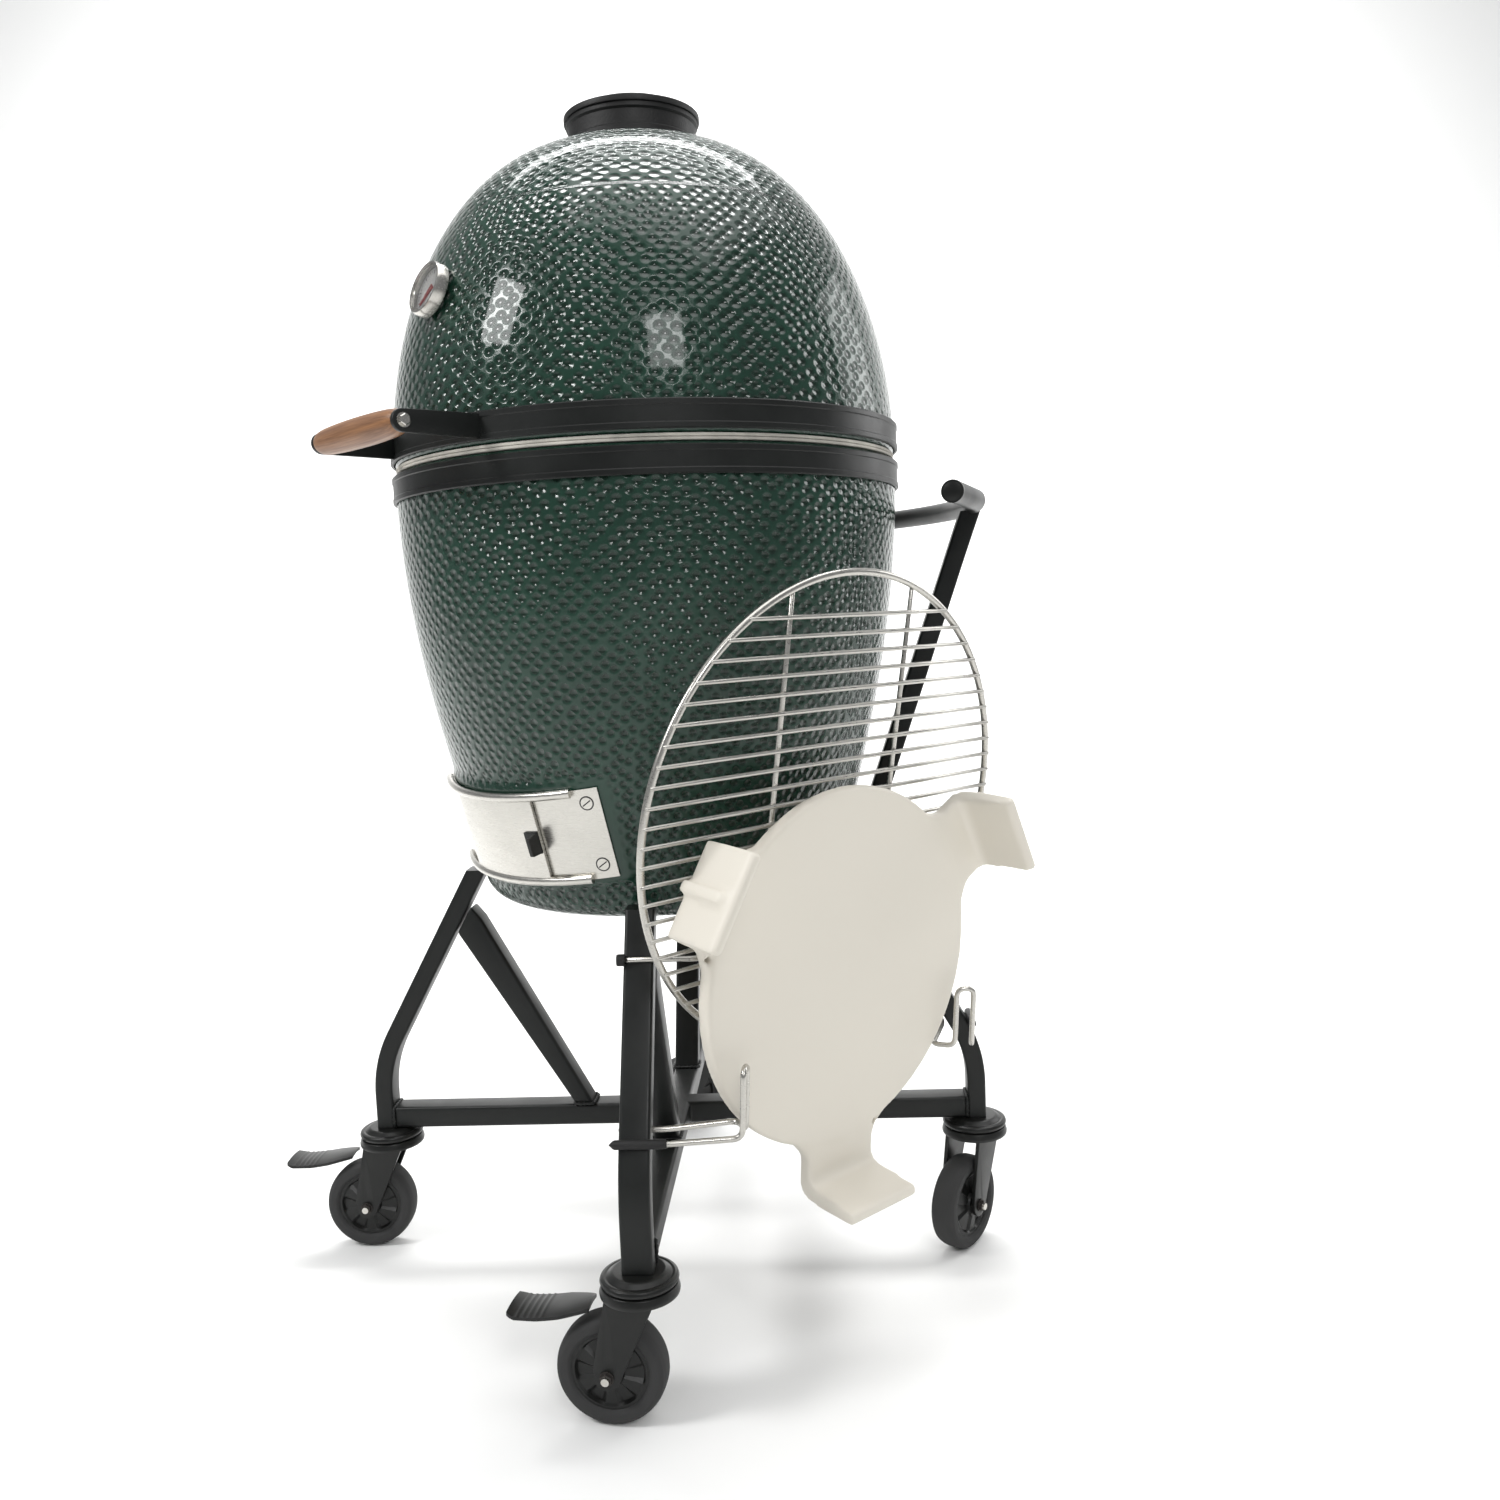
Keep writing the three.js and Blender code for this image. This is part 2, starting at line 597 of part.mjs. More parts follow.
const fireRingTopZ = rimZ - gridDrop;
function buildFireRing() {
  const low = fireboxTopZ + gap;
  const outside = levels(low, fireRingTopZ, 3).map((z) => [innerRadiusAt(z) - fireRingClearance, z]);
  const inside = outside.map(([r, z]) => [r - fireRingWall, z]).reverse();
  return turned([...outside, ...inside, outside[0]], 24);
}

add("fire_ring", buildFireRing(), fireclay);

function buildGrate() {
  const low = shelfZ + gap;
  const slots = [-3, -2, -1, 0, 1, 2, 3].map((i) => {
    const x = i * 24;
    const half = Math.sqrt(grateRadius ** 2 - x ** 2) - 16;
    return box(10, half * 2, grateWall * 2, x, 0, low + grateWall / 2);
  });
  return cut(disc(grateRadius, low, low + grateWall, 24), ...slots);
}

add("fire_grate", buildGrate(), castIron);

// ---- cooking grids ----------------------------------------------------------------------------------------
// The grid lies in the XY plane with its wires along Y, on top (+Z) of its ring.
function buildGrid() {
  const round = solid(new THREE.TorusGeometry(gridRadius - gridRingWire, gridRingWire, 4, 36));
  const wires = Array.from({ length: gridWires * 2 + 1 }, (_, i) => (i - gridWires) * gridPitch);
  const top = gridRingWire * 0.7;
  const square = gridWire * 1.8;
  const rods = wires.map((x) => {
    const half = Math.sqrt((gridRadius - gridRingWire) ** 2 - x ** 2) + gridRingWire * 0.6;
    return box(square, half * 2, square, x, 0, top);
  });
  const braceHalf = Math.sqrt((gridRadius - gridRingWire) ** 2 - gridBraceOffset ** 2);
  const braceZ = top - square - 0.1;
  const braces = [-1, 1].map((s) => box(braceHalf * 2, square, square, 0, s * gridBraceOffset, braceZ));
  return fromSolid([...rods, ...braces].map(solid).reduce((all, next) => all.add(next), round));
}

const gridShape = buildGrid();
const restingGrid = add("cooking_grid", gridShape.clone(), stainless);
restingGrid.position.z = fireRingTopZ + gap + gridRingWire;

// The hung grid stands on its edge, parallel to the ceramic's flank, with its wires level.
const spareGrid = add("spare_grid", gridShape.clone(), stainless);
spareGrid.rotation.y = Math.PI / 2 + rad(hungGrid.lean);
spareGrid.position.set(hungGrid.x, 0, hungGrid.z);

// ---- heat deflector ---------------------------------------------------------------------------------------
// The disc lies in the XY plane with its legs on the +Z side. A leg is a neck that widens into the disc, an upright
// foot at its end, and a rib up the foot's outer face.
function discLeg(angle) {
  const { width, reach, height, wall, neck, ribWidth, ribDepth } = discFoot;
  const [low, high] = [0.5, discWall - 0.5];
  const outline = new THREE.Shape();
  outline.moveTo(discRadius - 48, low);
  outline.lineTo(reach - wall - 2, low);
  outline.lineTo(reach - 2, wall);
  outline.lineTo(reach, height);
  outline.lineTo(reach - wall, height);
  outline.lineTo(reach - wall - 8, high + 6);
  outline.lineTo(reach - wall - 14, high);
  outline.lineTo(discRadius - 48, high);
  const flare = new THREE.Shape();
  flare.moveTo(discRadius - 30, -neck / 2);
  flare.lineTo(discRadius - 12, -neck / 2);
  flare.lineTo(discRadius + 12, -width / 2 + 0.5);
  flare.lineTo(discRadius + 12, width / 2 - 0.5);
  flare.lineTo(discRadius - 12, neck / 2);
  flare.lineTo(discRadius - 30, neck / 2);
  const rib = box(ribDepth * 2, ribWidth, height - 22, reach, 0, height / 2 + 3);
  return join(upright(outline, width), raised(flare, low + 0.5, high - 0.5), rib).rotateZ(rad(angle));
}

const deflector = add("heat_deflector", join(disc(discRadius, 0, discWall, 36), ...discLegAngles.map(discLeg)), fireclay);
// Turned so that its legs point out along +X: the leg at 270 degrees hangs straight down.
deflector.rotation.setFromRotationMatrix(new THREE.Matrix4().makeBasis(upY, upZ, upX));
deflector.rotateOnWorldAxis(upY, rad(hungDisc.lean));
deflector.position.set(hungDisc.x - discWall, 0, hungDisc.z);

// ---- nest -------------------------------------------------------------------------------------------------
const legLine = {
  foot: new THREE.Vector2(stemRadius + 2, railBottomZ),
  bend: new THREE.Vector2(stemRadius + 2, legBendZ),
  top: new THREE.Vector2(baseRadiusAt(legTopZ) + legClearance + tubeDepth / 2, legTopZ),
};
const legSlope = (legLine.bend.x - legLine.top.x) / (legLine.top.y - legLine.bend.y);
const legLean = Math.atan(legSlope);
const legHalfAcross = tubeDepth / 2 / Math.cos(legLean); // half the slanted tube, measured level
const legCentreAt = (z) => legLine.bend.x - (z - legLine.bend.y) * legSlope;
const railTopZ = railBottomZ + railHeight;
const braceTopZ = legTopZ - 42;
const braceTopR = legCentreAt(braceTopZ) - legHalfAcross - gap;

function buildLeg() {
  const outline = barOutline([legLine.foot, legLine.bend, legLine.top], legBendRadius, tubeDepth);
  return upright(new THREE.Shape(outline), tubeWidth);
}

// A straight brace from the cross rail up to the leg; its upper end lies along the leg's inner face.
function buildBrace() {
  const width = tubeDepth * 1.05;
  const reach = width / 2;
  const shape = new THREE.Shape();
  const foot = braceFootRadius;
  const topAt = (z) => legCentreAt(z) - legHalfAcross - gap;
  const tilt = (braceTopR - foot) / (braceTopZ - railTopZ);
  const low = braceTopZ - width * 1.1;
  shape.moveTo(foot - reach, railTopZ + gap);
  shape.lineTo(foot + reach, railTopZ + gap);
  shape.lineTo(topAt(low), low);
  shape.lineTo(topAt(braceTopZ + 6), braceTopZ + 6);
  shape.lineTo(foot - reach + tilt * (braceTopZ - railTopZ - 8), braceTopZ - 8);
  return upright(shape, tubeWidth);
}

for (const { side, azimuth } of casters) {
  const plane = radialGroup(azimuth);
  add(`leg_${side}`, buildLeg(), powderCoat, plane);
  add(`brace_${side}`, buildBrace(), powderCoat, plane);
}

const railEnd = legLine.foot.x - tubeDepth / 2 - gap;
const railBar = box(railEnd * 2, tubeWidth, railHeight, 0, 0, railBottomZ + railHeight / 2);
const railBars = [45, 135].map((a) => railBar.clone().rotateZ(rad(a)));
add("cross_rails", join(...railBars), powderCoat);

// ---- push handle ------------------------------------------------------------------------------------------
// The posts rise from the rear legs' tops, past the ceramic, and turn upright under the handle.
function buildPost() {
  const foot = new THREE.Vector2(legLine.top.x + 2, legTopZ + 14);
  const line = [foot, new THREE.Vector2(postBend.r, postBend.z), new THREE.Vector2(postTop.r, postTop.z - gap)];
  return upright(new THREE.Shape(barOutline(line, postBendRadius, tubeDepth)), tubeWidth * 0.8);
}

for (const side of ["rear_right", "rear_left"]) {
  const { azimuth } = casters.find((caster) => caster.side === side);
  add(`handle_post_${side.slice(5)}`, buildPost(), powderCoat, radialGroup(azimuth));
}

function buildHandle() {
  const z = postTop.z + handleTube;
  const arc = levels(180 - handleArc, 180 + handleArc, 14).map((a) => place(a, handleRadius, 0, z));
  const grip = (azimuth, sign) => {
    const along = sideways(azimuth - sign * handleFlare).multiplyScalar(-sign * handleGrip);
    return place(azimuth, handleRadius, 0, z).add(along);
  };
  return swept([grip(180 - handleArc, 1), ...arc, grip(180 + handleArc, -1)], handleTube, 8);
}

add("push_handle", buildHandle(), powderCoat);

// ---- hooks on the right side ------------------------------------------------------------------------------
const hookClear = hookWire * (1 + legSlope) + gap; // a level wire beside the slanted leg
const discLean = rad(hungDisc.lean);
const discRimDrop = Math.sqrt(discRadius ** 2 - hookRestOffset ** 2) * Math.cos(discLean);
const plateHookZ = hungDisc.z - discRimDrop - hookWire - gap;
const discFaceAt = (z) => hungDisc.x + (z - hungDisc.z) * Math.tan(discLean); // outer face of the disc

// Points are given for the front leg as (x, y, z) and mirrored in Y for the rear one.
function mirrored(points, sign) {
  return points.map((p) => new THREE.Vector3(p.x, p.y * sign, p.z));
}

// A hairpin that straddles the leg, passes under the disc's rim and stands up in front of it.
function plateHookPoints() {
  const outer = legCentreAt(plateHookZ) + legHalfAcross + hookClear;
  const inner = legCentreAt(plateHookZ) - legHalfAcross - hookClear;
  const tail = -tubeWidth / 2 - 4;
  const restX = discFaceAt(plateHookZ) - discWall * 0.4;
  const fingerX = discFaceAt(plateHookZ + hookFingerHeight) + hookWire + fingerClear;
  const fingerY = -hookRestOffset - 12;
  const outX = fingerX + hookSpread * Math.SQRT1_2;
  const outY = fingerY - hookSpread * Math.SQRT1_2;
  const top = plateHookZ + hookFingerHeight;
  const lean = 5;
  return [
    place(45, outer, tail, plateHookZ),
    place(45, outer, tubeWidth, plateHookZ),
    new THREE.Vector3(outX, outY, plateHookZ),
    new THREE.Vector3(outX + lean, outY, top),
    new THREE.Vector3(fingerX + lean, fingerY, top),
    new THREE.Vector3(fingerX, fingerY, plateHookZ),
    new THREE.Vector3(restX, -hookRestOffset, plateHookZ),
    place(45, inner, tubeWidth * 0.8, plateHookZ),
    place(45, inner, tail, plateHookZ),
  ];
}

// A wire from the leg's top that drops behind the hung grid and turns up in a J under its ring.
const gridLean = rad(hungGrid.lean);
const jOffset = 52; // from the middle of the grid to the J
const jRadius = 9;
function gridHookPoints() {
  const ringDrop = Math.sqrt((gridRadius - gridRingWire) ** 2 - jOffset ** 2);
  const ringX = hungGrid.x - ringDrop * Math.sin(gridLean);
  const ringZ = hungGrid.z - ringDrop * Math.cos(gridLean);
  const seatZ = ringZ - gridRingWire - hookWire - gap;
  const startZ = legTopZ - 36;
  const outer = legCentreAt(startZ) + legHalfAcross + hookClear;
  return [
    place(45, outer, -tubeWidth / 2 - 5, startZ),
    place(45, outer, tubeWidth * 2, startZ),
    new THREE.Vector3(ringX - jRadius, -jOffset - 26, startZ),
    new THREE.Vector3(ringX - jRadius, -jOffset, seatZ),
    new THREE.Vector3(ringX + jRadius + 2, -jOffset, seatZ),
    new THREE.Vector3(ringX + jRadius + 5, -jOffset, ringZ + 14),
  ];
}

for (const [end, sign] of [["front", 1], ["rear", -1]]) {
  add(`plate_hook_${end}`, wire(mirrored(plateHookPoints(), sign), hookWire, 5, 9), stainless);
  add(`grid_hook_${end}`, wire(mirrored(gridHookPoints(), sign), hookWire, 5, 9), stainless);
}

// ---- casters ----------------------------------------------------------------------------------------------
const headZ = railBottomZ - gap - casterHeadHeight;
const crownZ = headZ - gap - forkCrown;
const cheekOffset = wheelWidth / 2 + 2 + forkWall / 2;
const wheelBore = axleRadius + runGap / 2;

// The fork in its own frame: the stem on the Z axis, the wheel trailing towards +X.
function buildFork() {
  const crown = disc(casterHeadRadius - 3, crownZ, crownZ + forkCrown, 14);
  const cheek = new THREE.Shape();
  cheek.moveTo(-20, crownZ + forkCrown - 2);
  cheek.lineTo(26, crownZ + forkCrown - 2);
  cheek.lineTo(casterTrail + 12, wheelRadius + 8);
  cheek.absarc(casterTrail, wheelRadius, 12, 0.3, Math.PI + 0.3, true);
  const cheeks = [-1, 1].map((s) => upright(cheek, forkWall).translate(0, s * cheekOffset, 0));
  const bore = roundBar(axleRadius + gap, wheelWidth * 3, 10).translate(casterTrail, 0, wheelRadius);
  return cut(join(crown, ...cheeks), bore);
}

function buildWheel() {
  const half = wheelWidth / 2;
  const section = [
    [wheelBore, -half], [wheelRadius * 0.7, -half + 3], [wheelRadius * 0.93, -half + 2], [wheelRadius, -half + 9],
    [wheelRadius, half - 9], [wheelRadius * 0.93, half - 2], [wheelRadius * 0.7, half - 3], [wheelBore, half],
    [wheelBore, -half],
  ];
  return turned(section, 18).rotateX(Math.PI / 2).translate(casterTrail, 0, wheelRadius);
}

const axleLength = (cheekOffset + forkWall / 2 + 5) * 2;
const axle = roundBar(axleRadius, axleLength, 10).translate(casterTrail, 0, wheelRadius);

// The brake pedal: a tread plate behind the wheel's top, hinged at the fork's crown.
const pedalZ = wheelRadius * 2 + 3;
function buildPedal() {
  const outline = new THREE.Shape();
  const start = casterTrail + 16;
  outline.moveTo(start, pedalZ - 1);
  outline.lineTo(start + 20, pedalZ - 3);
  outline.lineTo(start + pedalReach, pedalZ - pedalWall);
  outline.lineTo(start + pedalReach, pedalZ);
  outline.lineTo(start + 20, pedalZ + pedalWall + 2);
  outline.lineTo(start, pedalZ + pedalWall + 4);
  return upright(outline, pedalWidth);
}

for (const { side, azimuth, yaw, brake } of casters) {
  const stem = place(azimuth, stemRadius, 0, 0);
  const head = turned([
    [0, headZ], [casterHeadRadius, headZ], [casterHeadRadius, headZ + casterHeadHeight * 0.6],
    [casterHeadRadius * 0.7, headZ + casterHeadHeight], [0, headZ + casterHeadHeight],
  ], 14);
  add(`caster_head_${side}`, head, nylon).position.copy(stem);
  const caster = new THREE.Group();
  caster.position.copy(stem);
  caster.rotation.z = rad(yaw - 90);
  grill.add(caster);
  add(`caster_fork_${side}`, buildFork(), nylon, caster);
  add(`caster_wheel_${side}`, buildWheel(), rubber, caster);
  add(`caster_axle_${side}`, axle.clone(), stainless, caster);
  if (brake) add(`brake_pedal_${side}`, buildPedal(), nylon, caster);
}

export default grill;
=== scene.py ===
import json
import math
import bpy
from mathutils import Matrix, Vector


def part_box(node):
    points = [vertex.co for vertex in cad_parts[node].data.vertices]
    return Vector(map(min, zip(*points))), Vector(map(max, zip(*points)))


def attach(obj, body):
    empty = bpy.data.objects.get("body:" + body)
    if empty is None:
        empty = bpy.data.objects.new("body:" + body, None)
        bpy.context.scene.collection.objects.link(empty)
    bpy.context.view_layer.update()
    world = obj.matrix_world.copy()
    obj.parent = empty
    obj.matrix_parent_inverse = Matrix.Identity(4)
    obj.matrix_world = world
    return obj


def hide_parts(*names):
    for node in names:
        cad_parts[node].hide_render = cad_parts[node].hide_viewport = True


bl_info = {
    "name": "Kamado Grill",
    "version": (1, 0, 0),
    "blender": (4, 5, 0),
    "location": "3D View > Sidebar > Kamado",
    "description": "Builds the finished pieces of a ceramic kamado grill around its packed CAD frame",
    "category": "Add Mesh",
}

import bmesh
import bpy
import numpy as np
from bpy.props import FloatProperty, FloatVectorProperty, PointerProperty
from mathutils import Matrix, Vector

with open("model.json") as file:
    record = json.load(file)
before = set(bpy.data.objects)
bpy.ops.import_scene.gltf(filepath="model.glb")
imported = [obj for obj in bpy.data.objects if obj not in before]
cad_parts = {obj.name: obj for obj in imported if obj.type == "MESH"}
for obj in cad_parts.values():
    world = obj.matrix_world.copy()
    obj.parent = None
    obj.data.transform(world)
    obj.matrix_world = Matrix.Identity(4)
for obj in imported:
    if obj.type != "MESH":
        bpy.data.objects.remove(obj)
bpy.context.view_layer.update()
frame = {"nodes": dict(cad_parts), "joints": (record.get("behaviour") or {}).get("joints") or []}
NODES = frame["nodes"]
CORNERS = ["front_left", "front_right", "rear_right", "rear_left"]

# ---- sizes read from the frame, in metres -------------------------------------------------------


def half_width(node):
    low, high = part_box(node)
    return (high.x - low.x) / 2


def middle(node):
    low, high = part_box(node)
    return (low + high) / 2


def points_of(node):
    """The corners of a CAD node as an array of rows."""
    mesh = NODES[node].data
    co = np.zeros(len(mesh.vertices) * 3)
    mesh.vertices.foreach_get("co", co)
    return co.reshape(-1, 3)


def joint(name):
    return next(j for j in frame["joints"] if j["name"] == name)


def facing(axis, centre):
    """Where a part goes whose own Z is to lie along an axis that starts at a centre."""
    place = Vector(axis).to_track_quat("Z", "Y").to_matrix().to_4x4()
    place.translation = Vector(centre)
    return place


def hinge_place(name, sense=1):
    """The frame of a hinge whose axis is square to X: X stays and Z lies along the axis, or against it."""
    hinge = joint(name)
    axis = sense * Vector(hinge["axis"]).normalized()
    side = Vector((1, 0, 0))
    place = Matrix((side, axis.cross(side), axis)).transposed().to_4x4()
    place.translation = Vector(hinge["pos_m"])
    return place


def seen_from(place, points):
    """Points written in a placed part's own frame."""
    inverse = np.array(place.inverted())
    return points @ inverse[:3, :3].T + inverse[:3, 3]


EGG = half_width("base_shell")
FOOT_Z, RIM_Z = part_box("base_shell")[0].z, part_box("base_shell")[1].z
DOME_Z, CHIMNEY_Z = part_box("dome_shell")[0].z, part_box("dome_shell")[1].z

# ---- sizes that the frame doesn't give, in metres and degrees -----------------------------------

SHELL_STEP = 0.0034  # spacing of the shells' points along the outline
SHELL_TURN = 360  # points round a shell
DIMPLE_BELT = 0.067  # the dome's dimples are counted again at each such step of radius
PORT_HALF_WIDTH, PORT_LOW, PORT_HIGH = 0.043, 0.467, 0.527  # the draught hole in the base
PAD_DEGREES, PAD_HALF_HEIGHT = 43.0, 0.056  # the raised pad behind the draft door, either side of its middle
DOOR_OPENING, DOOR_OPENING_HALF = 12.0, 0.030  # the hole in the draft door's frame
SCREW_LEVELS, SCREW_RADIUS = (-0.031, 0.031), 0.0058
GRID_RODS, GRID_BRACE = 11, 0.0787  # rods either side of the middle one; the braces' distance from it
PLATE_LEAN, PLATE_WALL = 4.6, 0.016  # the hung deflector's lean and the thickness of its disc
LEG_RADIUS, LEG_KNEE, LEG_TOP = 0.333, 0.216, 0.211  # a leg's foot, bend height and top
HANDLE_TUBE, HANDLE_GRIP, HANDLE_FLARE = 0.011, 0.118, 8.0
WHEEL_RADIUS, WHEEL_HALF, WHEEL_BORE, WHEEL_SPOKES = 0.050, 0.0145, 0.0043, 6
BOX_FACES = [(0, 1, 2, 3), (4, 5, 6, 7), (0, 1, 5, 4), (1, 2, 6, 5), (2, 3, 7, 6), (3, 0, 4, 7)]


# ---- property groups ----------------------------------------------------------------------------


class KamadoSizes(bpy.types.PropertyGroup):
    foot_radius: FloatProperty(
        name="Foot radius", description="Ceramic radius above its rounded foot", default=0.196, unit="LENGTH")
    foot_corner: FloatProperty(
        name="Foot corner", description="Radius of the rounded foot edge", default=0.028, unit="LENGTH")
    wall: FloatProperty(name="Wall", description="Thickness of the ceramic", default=0.025, unit="LENGTH")
    chimney_radius: FloatProperty(
        name="Chimney radius", description="Outside of the chimney", default=0.062, unit="LENGTH")
    chimney_bore: FloatProperty(name="Chimney bore", description="Inside of the chimney", default=0.044,
                                unit="LENGTH")
    chimney_height: FloatProperty(
        name="Chimney height", description="Chimney above the dome", default=0.026, unit="LENGTH")
    dimple_depth: FloatProperty(
        name="Dimple depth", description="Depth of the glaze dimples", default=0.0016, unit="LENGTH")
    dimple_pitch: FloatProperty(
        name="Dimple pitch", description="Spacing of the glaze dimples", default=0.0112, unit="LENGTH")
    grid_pitch: FloatProperty(name="Grid pitch", description="Spacing of the grid wires", default=0.0172,
                              unit="LENGTH")
    grid_wire: FloatProperty(name="Grid wire", description="Radius of a grid wire", default=0.0022,
                             unit="LENGTH")
    grid_ring: FloatProperty(name="Grid ring", description="Radius of the ring wire", default=0.0035,
                             unit="LENGTH")
    hook_wire: FloatProperty(name="Hook wire", description="Radius of the hook wire", default=0.00275,
                             unit="LENGTH")
    tube_edge: FloatProperty(
        name="Tube edge", description="Rounding of the nest's tubes", default=0.0035, unit="LENGTH")


class KamadoFinishes(bpy.types.PropertyGroup):
    # Painted shade: the first glaze tone is the darker colour put into each dimple; the second is the glaze on
    # the ridges.
    glaze_dimple_shade: FloatVectorProperty(
        name="Glaze, dimple shade", description="Glaze darkened in the dimples as painted shade", subtype="COLOR",
        default=(0.0022, 0.0125, 0.0066))
    glaze_ridge: FloatVectorProperty(
        name="Glaze, ridges", description="Glaze on the ridges", subtype="COLOR",
        default=(0.0080, 0.036, 0.0225))
    fireclay: FloatVectorProperty(
        name="Fireclay", description="Unglazed ceramic", subtype="COLOR", default=(0.31, 0.255, 0.19))
    fireclay_pale: FloatVectorProperty(
        name="Fireclay, pale", description="Paler patches of it", subtype="COLOR",
        default=(0.35, 0.29, 0.225))
    powder: FloatVectorProperty(
        name="Powder coat", description="Black coat on the nest", subtype="COLOR",
        default=(0.0065, 0.0075, 0.007))
    steel: FloatVectorProperty(
        name="Stainless", description="Brushed stainless steel", subtype="COLOR", default=(0.52, 0.505, 0.47))
    stage: FloatVectorProperty(name="Stage", description="Pale floor", subtype="COLOR",
                               default=(0.83, 0.83, 0.82))


# ---- shader node groups -------------------------------------------------------------------------


class Graph:
    """Short calls for adding and wiring nodes in one tree."""

    def __init__(self, tree):
        self.tree = tree

    def add(self, kind, settings=None, **inputs):
        node = self.tree.nodes.new(kind)
        for key, value in (settings or {}).items():
            setattr(node, key, value)
        for key, value in inputs.items():
            self.wire(value, node.inputs[key.replace("_", " ")])
        return node

    def wire(self, value, socket):
        if isinstance(value, bpy.types.NodeSocket):
            self.tree.links.new(value, socket)
        else:
            socket.default_value = value

    def math(self, operation, a, b=0.0, clamp=False):
        node = self.tree.nodes.new("ShaderNodeMath")
        node.operation, node.use_clamp = operation, clamp
        self.wire(a, node.inputs[0])
        self.wire(b, node.inputs[1])
        return node.outputs[0]

    def mix(self, factor, a, b):
        node = self.tree.nodes.new("ShaderNodeMix")
        node.data_type = "RGBA"
        self.wire(factor, node.inputs["Factor"])
        self.wire(a, node.inputs["A"])
        self.wire(b, node.inputs["B"])
        return node.outputs["Result"]

    def span(self, value, low, high, to_low=0.0, to_high=1.0):
        node = self.add("ShaderNodeMapRange", {"clamp": True}, Value=value)
        for key, number in zip(("From Min", "From Max", "To Min", "To Max"), (low, high, to_low, to_high)):
            self.wire(number, node.inputs[key])
        return node.outputs[0]


def new_group(name, inputs, outputs):
    """A shader group with sockets given as (name, kind, default); returns its graph and its two ends."""
    tree = bpy.data.node_groups.new(name, "ShaderNodeTree")
    for label, kind, default in inputs:
        socket = tree.interface.new_socket(name=label, in_out="INPUT", socket_type=kind)
        if default is not None:
            socket.default_value = default
    for label, kind in outputs:
        tree.interface.new_socket(name=label, in_out="OUTPUT", socket_type=kind)
    graph = Graph(tree)
    return graph, tree.nodes.new("NodeGroupInput").outputs, tree.nodes.new("NodeGroupOutput").inputs


VALUE, COLOR, VECTOR = "NodeSocketFloat", "NodeSocketColor", "NodeSocketVector"


def mottle_group():
    """Two tones blended by broad noise, with fine specks of a third tone."""
    g, given, out = new_group(
        "mottle",
        [("Position", VECTOR, None), ("Tone A", COLOR, (0.5, 0.5, 0.5, 1)),
         ("Tone B", COLOR, (0.6, 0.6, 0.6, 1)),
         ("Speck", COLOR, (0.2, 0.2, 0.2, 1)), ("Scale", VALUE, 20.0), ("Specks", VALUE, 0.0)],
        [("Color", COLOR), ("Mask", VALUE)])
    broad = g.add("ShaderNodeTexNoise", Vector=given["Position"], Scale=given["Scale"], Detail=4.0,
                  Roughness=0.6)
    mask = g.span(broad.outputs["Fac"], 0.35, 0.65)
    fine_scale = g.math("MULTIPLY", given["Scale"], 22.0)
    fine = g.add("ShaderNodeTexNoise", Vector=given["Position"], Scale=fine_scale, Detail=2.0)
    speck = g.math("MULTIPLY", g.span(fine.outputs["Fac"], 0.62, 0.72), given["Specks"])
    g.wire(g.mix(speck, g.mix(mask, given["Tone A"], given["Tone B"]), given["Speck"]), out["Color"])
    g.wire(mask, out["Mask"])
    return g.tree


def grain_group():
    """A fine relief: noise at two scales, and round pits."""
    g, given, out = new_group(
        "grain",
        [("Position", VECTOR, None), ("Scale", VALUE, 300.0), ("Coarse", VALUE, 0.3), ("Pits", VALUE, 0.0)],
        [("Height", VALUE)])
    fine = g.add("ShaderNodeTexNoise", Vector=given["Position"], Scale=given["Scale"], Detail=3.0)
    coarse_scale = g.math("MULTIPLY", given["Scale"], 0.15)
    coarse = g.add("ShaderNodeTexNoise", Vector=given["Position"], Scale=coarse_scale, Detail=2.0)
    pit_scale = g.math("MULTIPLY", given["Scale"], 0.5)
    cells = g.add("ShaderNodeTexVoronoi", Vector=given["Position"], Scale=pit_scale)
    pits = g.math("MULTIPLY", g.span(cells.outputs["Distance"], 0.0, 0.28, -1.0, 0.0), given["Pits"])
    mixed = g.math("ADD", fine.outputs["Fac"], g.math("MULTIPLY", coarse.outputs["Fac"], given["Coarse"]))
    g.wire(g.math("ADD", mixed, pits), out["Height"])
    return g.tree


def brushing_group():
    """Fine parallel scratches: noise squeezed across the given direction."""
    g, given, out = new_group(
        "brushing",
        [("Position", VECTOR, None), ("Stretch", VECTOR, (60.0, 60.0, 1800.0))],
        [("Height", VALUE), ("Mask", VALUE)])
    stretched = g.add("ShaderNodeVectorMath", {"operation": "MULTIPLY"})
    g.wire(given["Position"], stretched.inputs[0])
    g.wire(given["Stretch"], stretched.inputs[1])
    lines = g.add("ShaderNodeTexNoise", Vector=stretched.outputs[0], Scale=1.0, Detail=3.0, Roughness=0.7)
    g.wire(lines.outputs["Fac"], out["Height"])
    g.wire(g.span(lines.outputs["Fac"], 0.3, 0.7), out["Mask"])
    return g.tree


